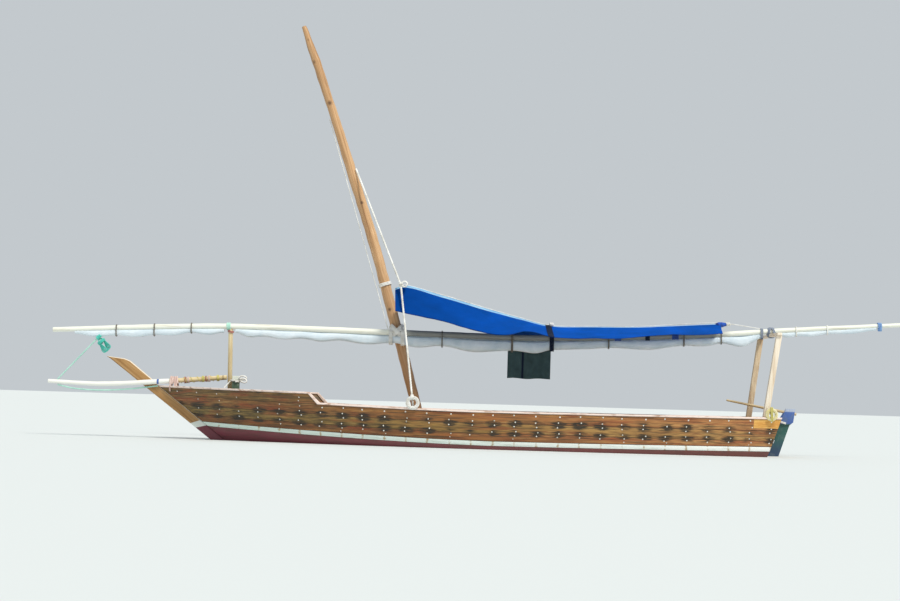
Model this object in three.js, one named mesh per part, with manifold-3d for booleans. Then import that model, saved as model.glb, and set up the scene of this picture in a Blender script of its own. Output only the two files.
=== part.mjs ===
// A wooden dhow afloat: planked hull, raked mast, long yard on its crutches, furled sail, awning, rudder.
// Millimetres, +Z up. The bow is at -X, the port side at -Y, and Z = 0 is the waterline.

import * as THREE from 'three';
import { mergeVertices } from 'three/addons/utils/BufferGeometryUtils.js';
import Module from 'manifold-3d';

const wasm = await Module();
wasm.setup();

const GAP = 0.3;              // between pieces that touch
const SIDES = [['port', -1], ['starboard', 1]];

// Hull
const PLANK = 38;             // planking thickness
const SEAM = 0.15;            // half of the gap between two strakes
const BACKBONE_HALF = 50;     // keel and stem, half of their thickness
const STEM_FOOT_X = -3665;    // aft face of the stem at the waterline
const STEM_RAKE = 1.3;        // how far the stem's aft face goes forward for each unit of height
const STERN_FOOT_X = 5215;    // aft face of the transom at the waterline
const STERN_RAKE = 0.31;      // how far the transom goes aft for each unit of height
const MIDDLE = 0.49;          // share of the length at the widest section
const STEP = 0.2433;          // share of the length where the raised bow ends
const TRANSOM_SHARE = 0.0042; // transom thickness as a share of the length
const LINING_END = 1 - TRANSOM_SHARE - 0.00005;
const CAP = { height: 30, outside: 15, inside: 60 };

// Levels of the outer surface, from the keel up: height at the stem, half-breadth and height at the
// widest section, half-breadth and height at the transom, and how quickly height and breadth change.
const LEVELS = [
  { bowZ: -450, midY: 50, midZ: -620, sternY: 50, sternZ: -560, rise: 12, entry: 2, run: 2 },
  { bowZ: -240, midY: 620, midZ: -470, sternY: 400, sternZ: -360, rise: 4, entry: 1.7, run: 1.7 },
  { bowZ: -20, midY: 1050, midZ: -230, sternY: 690, sternZ: -145, rise: 2.6, entry: 1.9, run: 1.8 },
  { bowZ: 223, midY: 1262, midZ: 60, sternY: 850, sternZ: 92, rise: 1.5, entry: 2.1, run: 2 },
  { bowZ: 298, midY: 1295, midZ: 135, sternY: 872, sternZ: 170, rise: 1.5, entry: 2.1, run: 2 },
  { bowZ: 418, midY: 1330, midZ: 259, sternY: 892, sternZ: 261, rise: 1.5, entry: 2.1, run: 2 },
  { bowZ: 574, midY: 1370, midZ: 420, sternY: 931, sternZ: 429, rise: 1.5, entry: 2.1, run: 2 },
  { bowZ: 736, midY: 1400, midZ: 588, sternY: 975, sternZ: 617, rise: 1.5, entry: 2.1, run: 2 },
  { bowZ: 848, midY: 1436, midZ: 784, sternY: 1010, sternZ: 784, rise: 1.5, entry: 2.1, run: 2 },
];
const SHEER = 7;              // level at the top of the third topside strake
const BOW_TOP = 8;            // level at the top of the raised bow
const FLAT_FROM = 3;          // from this level up, the seams between strakes are level across the planks
const STATIONS = [
  0, 0.015, 0.035, 0.06, 0.09, 0.13, 0.18, STEP, 0.3, 0.36, 0.42, 0.49,
  0.56, 0.63, 0.7, 0.77, 0.84, 0.9, 0.95, 1 - TRANSOM_SHARE, 1,
];

// Inside
const RIB = {
  first: -4100, last: 4980, spacing: 720, width: 45, depth: 60, floor: 110, keelson: 170,
  from: 0.035, apron: 0.015,
};
const DECK = { thickness: 25, foreTop: 420, foreStart: -4030, foreEnd: -865, aftTop: 400, aftStart: 4100 };
const FLOOR_TOP = -100;
const SEAT_TOP = 330;
const THWARTS = [1450, 3050];
const THWART_WIDTH = 250;
const BEAM = { start: -860, end: -350, top: 420, thickness: 60 };

// Poles: x, z and radius along each
const MAST = [
  [-199, -418, 80], [-545, 780, 91], [-865, 1890, 97], [-1265, 3240, 95],
  [-1717, 4571, 90], [-2085, 5620, 78], [-2447, 6600, 72], [-2592, 6973, 44],
];
const YARD = [
  [-6570, 1746, 36], [-5100, 1831, 46], [-3660, 1886, 50], [-810, 1862, 54],
  [1340, 1843, 54], [3000, 1901, 52], [4500, 1991, 50], [5480, 2081, 46], [8000, 2276, 34],
];
const YARD_Y = -(97 + 54 + GAP);
const BOWSPRIT = [[-6630, 895, 36], [-5770, 873, 42], [-4840, 935, 43], [-3657, 1038, 41]];

// The furled sail hangs in bulges between its ties: x, depth and half-width
const SAIL_FORE = [[-6200, 40, 26], [-5850, 95, 34], [-5510, 75, 30], [-5200, 120, 38], [-4890, 80, 32],
  [-4580, 125, 40], [-4280, 85, 34], [-3990, 120, 40], [-3730, 60, 30]];
const SAIL_MIDDLE = [[-3540, 60, 30], [-3300, 130, 42], [-3050, 110, 40], [-2740, 150, 44], [-2440, 120, 40],
  [-2120, 160, 46], [-1810, 125, 42], [-1350, 170, 46], [-900, 130, 40], [-500, 190, 52], [-116, 150, 48],
  [480, 225, 60], [1080, 180, 52], [1420, 215, 58], [1730, 150, 50], [2190, 145, 52], [2650, 125, 48],
  [3330, 172, 56], [3900, 115, 46], [4220, 142, 50], [4510, 105, 44], [4860, 190, 54], [5200, 60, 34]];
const SAIL_AFT = [[5520, 55, 30], [5640, 85, 34], [5760, 60, 30], [6010, 85, 34], [6270, 55, 28],
  [6680, 70, 30], [7080, 35, 22]];
const SAIL_Y = YARD_Y - 17;

// Awning: x, y and z of the ridge, the port edge and the starboard edge at each section
const AWNING = [
  { ridge: [-905, -600, 2580], port: [-885, -800, 2217], starboard: [-820, 60, 2262] },
  { ridge: [-735, -590, 2628], port: [-720, -800, 2186], starboard: [-720, 90, 2231] },
  { ridge: [-165, -480, 2498], port: [-200, -860, 2074], starboard: [-200, 200, 2122] },
  { ridge: [640, -330, 2291], port: [640, -930, 1888], starboard: [640, 400, 1943] },
  { ridge: [1160, -240, 2166], port: [1160, -950, 1859], starboard: [1160, 520, 1917] },
  { ridge: [1680, YARD_Y, 2056], port: [1680, -950, 1853], starboard: [1680, 640, 1915] },
  { ridge: [2500, YARD_Y, 2064], port: [2500, -950, 1850], starboard: [2500, 640, 1912] },
  { ridge: [3120, YARD_Y, 2078], port: [3120, -950, 1908], starboard: [3120, 640, 1973] },
  { ridge: [4500, YARD_Y, 2172], port: [4500, -950, 1992], starboard: [4500, 640, 2062] },
];
const AWNING_THICKNESS = 8;
const AWNING_SAG = 18;        // halfway between the ridge and an edge
const RIDGE_ROPE = { radius: 7, from: 1, tip: 5180 };  // it starts over the second section
const CURTAIN = { fore: 985, aft: 1700, bottom: 1168, top: 1846, thickness: 8 };

// Crutches and fittings
const BOW_POST = { footX: -3597, topX: -3622, radius: 38 };
const BOLLARD = { x: -3552, y: -330, size: 118, height: 646 };
const STERN_POST = { footX: 5128, topX: 5342, footY: 862, topY: 930, size: 92, top: 1972 };
const CROSS_BEAM = { half: 1010, width: 80 };
const BACKSTAY = { radius: 18, top: 4585, bend: [-810, -700, 2625], footX: -536, railShare: 0.4 };
const HALYARD = { radius: 8, top: 5415, footX: -1015 };
const BOW_LINE = 12;          // radius
const BOW_LINE_UPPER = [[-6470, -93, 932.4], [-5800, -168.3, 1652]];
const BOW_LINE_LOWER = [
  [-6470, -93, 840], [-6200, -88, 786], [-5790, -80, 768], [-5350, -71, 794], [-4810, -62.3, 866],
];
const COIL = { radius: 76, rope: 30, x: -547, z: 712, press: 10 };

// Steering: distances aft of the transom's aft face, along X
const RAKE_ANGLE = Math.atan(STERN_RAKE);
const POST_DEPTH = 100;
const AXIS_BACK = POST_DEPTH + 36;
const PINTLES = [-330, 250];
const TILLER = [[5815, 705, 24], [5600, 740, 24], [5100, 830, 21], [4650, 910, 17]];
const IRON = { half: 18, radius: 22, hole: 10, pin: 9.5, clearance: 9 };
const BLADE_HALF = 22;
const HEAD_HALF = 45;

const finish = (color, roughness, metalness = 0) => (
  new THREE.MeshStandardMaterial({ color, roughness, metalness })
);
const FINISHES = {
  hullWood: finish('#9c5a2a', 0.6),
  capWood: finish('#e8c8b8', 0.6),
  bottomPaint: finish('#7a2f38', 0.5),
  stripePaint: finish('#dfe8e0', 0.5),
  stemWood: finish('#b5762f', 0.6),
  innerWood: finish('#8a6a48', 0.8),
  mastWood: finish('#d8a06a', 0.6),
  polePaint: finish('#f2efe2', 0.5),
  postWood: finish('#ece0b8', 0.7),
  bambooPost: finish('#c9ad74', 0.6),
  rudderPaint: finish('#3d5a62', 0.6),
  sailCloth: finish('#dfe3e2', 0.9),
  awningCloth: finish('#0b55cc', 0.8),
  curtainCloth: finish('#2b4040', 0.9),
  whiteRope: finish('#e8e6dc', 0.9),
  tealRope: finish('#9fd3c4', 0.9),
  iron: finish('#6f6a66', 0.5, 0.8),
};

const dhow = new THREE.Group();

function add(name, geometry, finishName) {
  const mesh = new THREE.Mesh(geometry, FINISHES[finishName]);
  mesh.name = name;
  dhow.add(mesh);
}

const mix = (a, b, t) => a + (b - a) * t;
const point = (x, y, z) => new THREE.Vector3(x, y, z);

// Triangles of a flat ring of points, turned the same way as the ring.
function capFaces(ring) {
  const normal = point(0, 0, 0);
  ring.forEach((p, i) => normal.add(p.clone().cross(ring[(i + 1) % ring.length])));
  const sizes = normal.toArray().map(Math.abs);
  const drop = sizes.indexOf(Math.max(...sizes));
  const [a, b] = [0, 1, 2].filter((axis) => axis !== drop);
  const flat = ring.map((p) => new THREE.Vector2(p.getComponent(a), p.getComponent(b)));
  const turn = Math.sign(THREE.ShapeUtils.area(flat));
  return THREE.ShapeUtils.triangulateShape(flat, []).map(([i, j, k]) => {
    const face = THREE.ShapeUtils.area([flat[i], flat[j], flat[k]]);
    return Math.sign(face) === turn ? [i, j, k] : [i, k, j];
  });
}

// A closed body from rings of points, with a wall between neighbours and a flat cap at each end.
// Twisted walls that lie against each other are split along the same diagonal: turned says which
// walls, counted round the ring, take the other one.
function loft(rings, turned = () => false) {
  const count = rings[0].length;
  const points = rings.flat();
  const last = (rings.length - 1) * count;
  const faces = capFaces(rings[0]).map(([i, j, k]) => [i, k, j]);
  for (let r = 0; r + 1 < rings.length; r += 1) {
    for (let i = 0; i < count; i += 1) {
      const a = r * count + i;
      const b = r * count + (i + 1) % count;
      if (turned(i)) faces.push([a, b, a + count], [b, b + count, a + count]);
      else faces.push([a, b, b + count], [a, b + count, a + count]);
    }
  }
  faces.push(...capFaces(rings.at(-1)).map((face) => face.map((i) => last + i)));
  let volume = 0;
  for (const [i, j, k] of faces) volume += points[i].dot(points[j].clone().cross(points[k]));
  const index = volume > 0 ? faces : faces.map(([i, j, k]) => [i, k, j]);
  const geometry = new THREE.BufferGeometry().setFromPoints(points);
  geometry.setIndex(index.flat());
  return geometry;
}

// three.js meshes to solids that can be joined and cut, and back
function toSolid(geometry) {
  const bare = geometry.clone();
  bare.deleteAttribute('normal');
  bare.deleteAttribute('uv');
  const merged = mergeVertices(bare, 1e-3);
  return new wasm.Manifold(new wasm.Mesh({
    numProp: 3,
    vertProperties: merged.attributes.position.array,
    triVerts: new Uint32Array(merged.index.array),
  }));
}

function toGeometry(solid) {
  const mesh = solid.getMesh();
  const geometry = new THREE.BufferGeometry();
  geometry.setAttribute('position', new THREE.BufferAttribute(new Float32Array(mesh.vertProperties), 3));
  geometry.setIndex(new THREE.BufferAttribute(new Uint32Array(mesh.triVerts), 1));
  return geometry;
}

const joined = (solids) => solids.reduce((a, b) => a.add(b));

// A box between two corners, each given as [from, to] along X, Y and Z
function block([x0, x1], [y0, y1], [z0, z1]) {
  const geometry = new THREE.BoxGeometry(x1 - x0, y1 - y0, z1 - z0);
  return geometry.translate((x0 + x1) / 2, (y0 + y1) / 2, (z0 + z1) / 2);
}

// A board cut to an outline of [x, z] points, centred on the middle plane of the boat
function board(outline, half) {
  const shape = new THREE.Shape(outline.map(([x, z]) => new THREE.Vector2(x, z)));
  const geometry = new THREE.ExtrudeGeometry(shape, { depth: 2 * half, bevelEnabled: false });
  return geometry.rotateX(Math.PI / 2).translate(0, half, 0);
}

// A round pole or rope through points, with a radius at each
function pole(points, radii, sides) {
  const rings = points.map((centre, i) => {
    const before = points[Math.max(i - 1, 0)];
    const after = points[Math.min(i + 1, points.length - 1)];
    const along = after.clone().sub(before).normalize();
    const first = point(0, -1, 0).addScaledVector(along, along.y).normalize();
    const second = along.clone().cross(first);
    return Array.from({ length: sides }, (_, s) => {
      const angle = (2 * Math.PI * s) / sides;
      return centre.clone()
        .addScaledVector(first, radii[i] * Math.cos(angle))
        .addScaledVector(second, radii[i] * Math.sin(angle));
    });
  });
  return loft(rings);
}

const rope = (points, radius, sides = 8) => pole(points, points.map(() => radius), sides);

// Points along a spar's table, smoothed: x, z and radius
function sparPoints(rows, steps) {
  const curve = new THREE.CatmullRomCurve3(rows.map(([x, z, r]) => point(x, r, z)));
  return curve.getSpacedPoints(steps);
}

function spar(rows, y, steps, sides, grow = 0) {
  const samples = sparPoints(rows, steps);
  const sideways = typeof y === 'function' ? y : () => y;
  const centres = samples.map((p) => point(p.x, sideways(p.x), p.z));
  return pole(centres, samples.map((p) => p.y + grow), sides);
}

// Height and radius of a spar at one x, or its x at one height
function sparAt(samples, key, value) {
  const i = samples.findIndex((p, k) => k > 0 && (p[key] - value) * (samples[k - 1][key] - value) <= 0);
  const [a, b] = [samples[i - 1], samples[i]];
  return a.clone().lerp(b, (value - a[key]) / (b[key] - a[key]));
}

// Hull surface
const stationX = (u, z) => mix(STEM_FOOT_X - STEM_RAKE * z, STERN_FOOT_X + STERN_RAKE * z, u);

function levelPoint(u, level) {
  const { bowZ, midY, midZ, sternY, sternZ, rise, entry, run } = LEVELS[level];
  if (u <= MIDDLE) {
    const s = (MIDDLE - u) / MIDDLE;
    return { y: midY - (midY - BACKBONE_HALF) * s ** entry, z: midZ + (bowZ - midZ) * s ** rise };
  }
  const s = (u - MIDDLE) / (1 - MIDDLE);
  return { y: midY - (midY - sternY) * s ** run, z: midZ + (sternZ - midZ) * s ** 1.6 };
}

// A station's half-section, moved inward by an inset: y and z at each level, from the keel up
function section(u, inset) {
  const points = LEVELS.map((_, level) => levelPoint(u, level));
  const normals = points.slice(1).map((p, i) => {
    const dy = p.y - points[i].y;
    const dz = p.z - points[i].z;
    const length = Math.hypot(dy, dz);
    return { y: -dz / length, z: dy / length };
  });
  return points.map((p, i) => {
    const a = normals[Math.max(i - 1, 0)];
    const b = normals[Math.min(i, normals.length - 1)];
    const square = 1 + a.y * b.y + a.z * b.z;
    if (i >= FLAT_FROM) {
      const across = (inset * Math.sqrt(2 * square)) / (a.y + b.y);
      return { y: Math.max(p.y + across, 2), z: p.z };
    }
    const fit = inset / square;
    return { y: Math.max(p.y + (a.y + b.y) * fit, 2), z: p.z + (a.z + b.z) * fit };
  });
}

const hullPoint = (u, side, p) => point(stationX(u, p.z), side * p.y, p.z);

// A plank or band of planks between two levels and two stations
function strake(bottom, top, side, from, to) {
  const lift = (a, b, share) => ({ y: mix(a.y, b.y, share), z: mix(a.z, b.z, share) });
  return loft(STATIONS.filter((u) => u >= from && u <= to).map((u) => {
    const outer = section(u, 0).slice(bottom, top + 1);
    const inner = section(u, PLANK).slice(bottom, top + 1);
    for (const line of [outer, inner]) {
      const [first, second] = line;
      const [beforeLast, last] = line.slice(-2);
      const low = lift(first, second, SEAM / Math.hypot(second.y - first.y, second.z - first.z));
      const high = lift(last, beforeLast, SEAM / Math.hypot(last.y - beforeLast.y, last.z - beforeLast.z));
      line[0] = low;
      line[line.length - 1] = high;
    }
    return [...outer, ...inner.reverse()].map((p) => hullPoint(u, side, p));
  }), (wall) => wall === 2 * (top - bottom) + 1);
}

// The space inside the planking between two stations, up to one level, as a solid
function innerSpace(inset, top, { from = 0, to = 1, floor = 0, rise = 0 } = {}) {
  return toSolid(loft(STATIONS.filter((u) => u >= from && u <= to).map((station) => {
    const u = Math.min(station, LINING_END);
    const keelZ = levelPoint(u, 0).z;
    const half = section(u, inset).slice(0, top + 1)
      .map((p) => ({ y: p.y, z: Math.max(p.z, keelZ + floor) }));
    half.at(-1).z += rise;
    const port = half.map((p) => hullPoint(u, -1, p));
    const starboard = half.map((p) => hullPoint(u, 1, p));
    return [...port.reverse(), ...starboard];
  }), (wall) => wall > top));
}

// Planking
const BANDS = [
  ['bottom_planking', 0, 3, 1, 'bottomPaint'],
  ['boot_stripe', 3, 4, 1, 'stripePaint'],
  ['topside_strake_1', 4, 5, 1, 'hullWood'],
  ['topside_strake_2', 5, 6, 1, 'hullWood'],
  ['topside_strake_3', 6, 7, 1, 'hullWood'],
  ['bow_bulwark', 7, 8, STEP, 'hullWood'],
];
for (const [sideName, side] of SIDES) {
  for (const [name, bottom, top, to, finishName] of BANDS) {
    add(`${name}_${sideName}`, strake(bottom, top, side, 0, to), finishName);
  }
}

// Cap rails: along the raised bow, down the slanted step and aft to the transom
function capRing(u, side, level, lowShift, highShift) {
  const { y, z } = levelPoint(u, level);
  const low = z + GAP;
  const high = z + CAP.height;
  const outer = y + CAP.outside;
  const inner = Math.max(y - CAP.inside, GAP);
  const corner = (breadth, height, shift) => point(stationX(u, z) + shift, side * breadth, height);
  return [
    corner(outer, low, lowShift), corner(outer, high, highShift),
    corner(inner, high, highShift), corner(inner, low, lowShift),
  ];
}
for (const [sideName, side] of SIDES) {
  const bow = STATIONS.filter((u) => u < STEP)
    .map((u) => capRing(u, side, BOW_TOP, 0, -CAP.height * STEM_RAKE * (1 - u)));
  const step = [capRing(STEP, side, BOW_TOP, 0.5, 22), capRing(STEP, side, SHEER, 0.5, 40)];
  const aft = STATIONS.filter((u) => u > STEP)
    .map((u) => capRing(u, side, SHEER, 0, CAP.height * STERN_RAKE * u));
  add(`cap_rail_${sideName}`, loft([...bow, ...step, ...aft]), 'capWood');
}

// Backbone
const rabbet = STATIONS.map((u) => {
  const { z } = levelPoint(u, 0);
  return [stationX(u, z), z - GAP];
});
const KEEL_BOTTOM = -750;
const stemAft = (z) => STEM_FOOT_X - STEM_RAKE * z - 0.5;
const stemFore = (z) => -3904 - z / 0.757;
const SCARF = 4;              // station where the stem meets the keel
const scarfX = rabbet[SCARF][0];
add('stem', board([
  [stemFore(1288), 1288], [-5690, 1341], [-5383, 1304], [-5290, 1268], [-4930, 985], [stemAft(885), 885],
  [rabbet[0][0] - 0.5, rabbet[0][1] - 0.5], ...rabbet.slice(1, SCARF + 1),
  [scarfX, KEEL_BOTTOM], [-2900, KEEL_BOTTOM], [-3120, -700], [stemFore(-540), -540],
], BACKBONE_HALF - GAP), 'stemWood');
const keelEnd = (z) => STERN_FOOT_X + STERN_RAKE * z;
add('keel', board([
  ...rabbet.slice(SCARF).map(([x, z], i) => (i === 0 ? [x + GAP, z] : [x, z])),
  [keelEnd(KEEL_BOTTOM), KEEL_BOTTOM], [scarfX + GAP, KEEL_BOTTOM],
], BACKBONE_HALF - GAP), 'bottomPaint');
const POST_TOP = 600;
add('sternpost', board([
  [keelEnd(KEEL_BOTTOM) + 0.5, KEEL_BOTTOM], [keelEnd(POST_TOP) + 0.5, POST_TOP],
  [keelEnd(POST_TOP) + POST_DEPTH, POST_TOP], [keelEnd(KEEL_BOTTOM) + POST_DEPTH, KEEL_BOTTOM],
], BACKBONE_HALF - 5), 'rudderPaint');

// Transom and its cap
const transomRing = (u) => {
  const half = section(u, PLANK + GAP).slice(0, SHEER + 1);
  return [...half.map((p) => hullPoint(u, -1, p)).reverse(), ...half.map((p) => hullPoint(u, 1, p))];
};
add('transom', loft([transomRing(1 - TRANSOM_SHARE), transomRing(1)], (wall) => wall > SHEER), 'hullWood');
const transomTop = levelPoint(1, SHEER);
const transomX = stationX(1, transomTop.z);
const capHalf = transomTop.y - CAP.inside - 3;
add('transom_cap', block(
  [transomX - 55, transomX + 8], [-capHalf, capHalf], [transomTop.z + GAP, transomTop.z + CAP.height],
), 'capWood');

// Ribs with their floors, the keelson, the apron behind the stem and the beams under decks and floor
const WIDE = [-2000, 2000];
const TALL = [-900, 900];
const lining = innerSpace(PLANK + GAP, SHEER, { to: 1 - TRANSOM_SHARE })
  .add(innerSpace(PLANK + GAP, BOW_TOP, { to: STEP }));
const ribInset = PLANK + RIB.depth;
const OVER_TOP = 60;          // the inner spaces reach above the planks, so that they cut right through
const insideRibs = (grow) => (
  innerSpace(ribInset + grow, BOW_TOP, { from: RIB.from, floor: RIB.floor, rise: OVER_TOP })
);
const spineSpace = innerSpace(PLANK - 10, BOW_TOP, { from: RIB.apron, floor: RIB.keelson, rise: OVER_TOP });
const clearInside = insideRibs(GAP);
const ribX = [];
for (let x = RIB.first; x <= RIB.last; x += RIB.spacing) ribX.push(x);
const slab = (x, z, grow = 0) => toSolid(block([x - grow, x + RIB.width + grow], WIDE, z));
const beamTop = (x) => {
  if (x < DECK.foreEnd) return DECK.foreTop - DECK.thickness;
  return (x > DECK.aftStart ? DECK.aftTop : FLOOR_TOP) - DECK.thickness;
};
const hoops = joined(ribX.map((x) => slab(x, TALL))).intersect(lining.subtract(insideRibs(0)));
const beams = joined(ribX.map((x) => slab(x, [beamTop(x) - 60, beamTop(x) - GAP])));
const spine = lining.subtract(spineSpace).intersect(toSolid(block([-4700, 5020], [-60, 60], TALL)));
add('ribs', toGeometry(joined([hoops, beams.intersect(lining), spine])), 'innerWood');
const ribNotches = joined(ribX.map((x) => slab(x, TALL, GAP))).subtract(clearInside);

// Decks, floor, beams and seats, cut to the inside of the hull
const mastSpace = (grow) => toSolid(spar(MAST, 0, 18, 12, grow));
const fitted = (space, x, y, z) => space.intersect(toSolid(block(x, y, z)));
add('foredeck', toGeometry(fitted(
  lining, [DECK.foreStart, DECK.foreEnd], WIDE, [DECK.foreTop - DECK.thickness, DECK.foreTop],
).subtract(ribNotches)), 'innerWood');
add('aft_deck', toGeometry(fitted(
  lining, [DECK.aftStart, 5600], WIDE, [DECK.aftTop - DECK.thickness, DECK.aftTop],
).subtract(ribNotches)), 'innerWood');
add('floor_boards', toGeometry(fitted(
  clearInside, [-2300, 4600], WIDE, [FLOOR_TOP - DECK.thickness, FLOOR_TOP],
).subtract(mastSpace(12))), 'innerWood');
add('mast_beam', toGeometry(fitted(
  clearInside, [BEAM.start, BEAM.end], WIDE, [BEAM.top - BEAM.thickness, BEAM.top],
).subtract(mastSpace(GAP))), 'innerWood');
add('mast_step', toGeometry(toSolid(
  block([-330, -40], [-90, 90], [-450 + 2 * GAP, -340]),
).subtract(mastSpace(2 * GAP).translate([0, 0, -0.5]))), 'innerWood');
THWARTS.forEach((x, i) => {
  add(`thwart_${i + 1}`, toGeometry(fitted(
    clearInside, [x, x + THWART_WIDTH], WIDE, [SEAT_TOP - 40, SEAT_TOP],
  )), 'innerWood');
});
for (const [sideName, side] of SIDES) {
  const reach = side < 0 ? [-2000, -880] : [880, 2000];
  add(`side_bench_${sideName}`, toGeometry(fitted(
    clearInside, [BEAM.end + GAP, DECK.aftStart - 10], reach, [SEAT_TOP + GAP, SEAT_TOP + 30],
  )), 'innerWood');
}

// Spars
add('mast', spar(MAST, 0, 18, 12), 'mastWood');
add('yard', spar(YARD, YARD_Y, 24, 10), 'polePaint');
const mastLine = sparPoints(MAST, 18);
const yardLine = sparPoints(YARD, 24);
const bowspritY = (x) => mix(-(BACKBONE_HALF + 43 + GAP), YARD_Y, Math.max(0, (x + 4840) / (-3657 + 4840)));
add('bowsprit', spar(BOWSPRIT, bowspritY, 8, 10), 'polePaint');

// Furled sail, in three lengths between the crutches
const yardSpace = toSolid(spar(YARD, YARD_Y, 24, 10, GAP));
function sail(rows) {
  const rings = rows.map(([x, depth, half]) => {
    const at = sparAt(yardLine, 'x', x);
    const top = at.z - at.y + 12;
    const bottom = at.z - at.y - depth;
    return Array.from({ length: 8 }, (_, i) => {
      const angle = (Math.PI * i) / 4 + Math.PI / 8;
      return point(x, SAIL_Y + half * Math.cos(angle), mix(bottom, top, (1 + Math.sin(angle)) / 2));
    });
  });
  return toGeometry(toSolid(loft(rings)).subtract(yardSpace));
}
add('furled_sail_fore', sail(SAIL_FORE), 'sailCloth');
add('furled_sail_middle', sail(SAIL_MIDDLE), 'sailCloth');
add('furled_sail_aft', sail(SAIL_AFT), 'sailCloth');

// Crutches
const YARD_FLAT = Math.cos(Math.PI / 10);
const underYard = (x) => {
  const at = sparAt(yardLine, 'x', x);
  return at.z - at.y * YARD_FLAT;
};
add('bow_post', pole([
  point(BOW_POST.footX, YARD_Y, DECK.foreTop + 1.5),
  point(BOW_POST.topX, YARD_Y, underYard(BOW_POST.topX) - 0.7),
], [BOW_POST.radius, BOW_POST.radius], 10), 'bambooPost');
add('bollard', block(
  [BOLLARD.x, BOLLARD.x + BOLLARD.size], [BOLLARD.y, BOLLARD.y + BOLLARD.size],
  [DECK.foreTop + GAP, DECK.foreTop + BOLLARD.height],
), 'rudderPaint');
const beamSeat = underYard(STERN_POST.topX - CROSS_BEAM.width / 2) - GAP;
for (const [sideName, side] of SIDES) {
  const half = STERN_POST.size / 2;
  const square = (x, y, z) => [[-half, -half], [half, -half], [half, half], [-half, half]]
    .map(([dx, dy]) => point(x + dx, side * y + dy, z));
  add(`stern_post_${sideName}`, loft([
    square(STERN_POST.footX, STERN_POST.footY, DECK.aftTop + GAP),
    square(STERN_POST.topX, STERN_POST.topY, STERN_POST.top),
  ]), 'postWood');
}
add('stern_cross_beam', block(
  [STERN_POST.topX - CROSS_BEAM.width / 2, STERN_POST.topX + CROSS_BEAM.width / 2],
  [-CROSS_BEAM.half, CROSS_BEAM.half], [STERN_POST.top + GAP, beamSeat],
), 'postWood');

// Awning over its ridge rope, and the side curtain
const awningRings = AWNING.map(({ ridge, port, starboard }) => {
  const [top, ...edges] = [ridge, port, starboard].map((corner) => point(...corner));
  const sag = point(0, 0, -AWNING_SAG);
  const [portHalf, starboardHalf] = edges.map((edge) => edge.clone().lerp(top, 0.5).add(sag));
  const line = [edges[0], portHalf, top, starboardHalf, edges[1]];
  const under = line.map((p) => p.clone().setZ(p.z - AWNING_THICKNESS)).reverse();
  return [...line, ...under];
});
add('awning', loft(awningRings, (wall) => wall > 4), 'awningCloth');
const curtainY = YARD_Y + 54 + GAP;
add('side_curtain', block(
  [CURTAIN.fore, CURTAIN.aft], [curtainY, curtainY + CURTAIN.thickness], [CURTAIN.bottom, CURTAIN.top],
), 'curtainCloth');

// Stays
const railTop = (u) => levelPoint(u, SHEER).z + CAP.height;
const railY = -(levelPoint(BACKSTAY.railShare, SHEER).y - 15);
const stayTop = sparAt(mastLine, 'z', BACKSTAY.top);
const stayOut = stayTop.y + BACKSTAY.radius;
const stayBend = point(...BACKSTAY.bend);
add('backstay', rope([
  point(stayTop.x + stayOut * 0.8, -stayOut * 0.62, BACKSTAY.top),
  stayBend, point(BACKSTAY.footX, railY, railTop(BACKSTAY.railShare) + 7.4),
], BACKSTAY.radius), 'whiteRope');
const yardTop = (x) => {
  const at = sparAt(yardLine, 'x', x);
  return at.z + at.y * YARD_FLAT;
};
const halyardTop = sparAt(mastLine, 'z', HALYARD.top);
add('halyard', rope([
  point(halyardTop.x - halyardTop.y - 2 * HALYARD.radius, 0, HALYARD.top),
  point(HALYARD.footX, YARD_Y, yardTop(HALYARD.footX) + 3),
], HALYARD.radius), 'whiteRope');
const overCloth = point(0, 0, RIDGE_ROPE.radius + 2 * GAP);
const ridgePoints = AWNING.slice(RIDGE_ROPE.from).map(({ ridge }) => point(...ridge).add(overCloth));
const towardsRidge = ridgePoints[0].clone().sub(stayBend).normalize();
add('ridge_rope', rope([
  stayBend.clone().addScaledVector(towardsRidge, BACKSTAY.radius + RIDGE_ROPE.radius), ...ridgePoints,
  point(RIDGE_ROPE.tip, YARD_Y, yardTop(RIDGE_ROPE.tip) + RIDGE_ROPE.radius + 0.5),
], RIDGE_ROPE.radius), 'whiteRope');
add('bow_line_upper', rope(BOW_LINE_UPPER.map((p) => point(...p)), BOW_LINE), 'tealRope');
add('bow_line_lower', rope(BOW_LINE_LOWER.map((p) => point(...p)), BOW_LINE), 'tealRope');
const coilY = levelPoint(BACKSTAY.railShare, SHEER).y + CAP.outside + COIL.rope - COIL.press;
const coil = new THREE.TorusGeometry(COIL.radius, COIL.rope, 8, 20);
coil.rotateX(Math.PI / 2);
coil.translate(COIL.x, -coilY, COIL.z);
add('rope_coil', coil, 'whiteRope');

// Steering: shapes made about the upright turning axis, then raked and set on it
const onAxis = (geometry, z) => geometry
  .rotateY(RAKE_ANGLE)
  .translate(STERN_FOOT_X + AXIS_BACK + STERN_RAKE * z, 0, z);
const upright = (radius, half) => (
  new THREE.CylinderGeometry(radius, radius, 2 * half, 16).rotateX(Math.PI / 2)
);
const web = (AXIS_BACK - POST_DEPTH) * Math.cos(RAKE_ANGLE) - 0.5;
PINTLES.forEach((z, i) => {
  const ring = toSolid(onAxis(upright(IRON.radius, IRON.half), z));
  const arm = toSolid(onAxis(block([-web, 0], [-IRON.radius, IRON.radius], [-IRON.half, IRON.half]), z));
  const hole = toSolid(onAxis(upright(IRON.hole, 2 * IRON.half), z));
  add(`gudgeon_${i + 1}`, toGeometry(ring.add(arm).subtract(hole)), 'iron');
});
const bladeFore = (z) => STERN_FOOT_X + AXIS_BACK - 14 + STERN_RAKE * z;
const headFore = (z) => STERN_FOOT_X + AXIS_BACK + 12 + STERN_RAKE * z;
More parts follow.
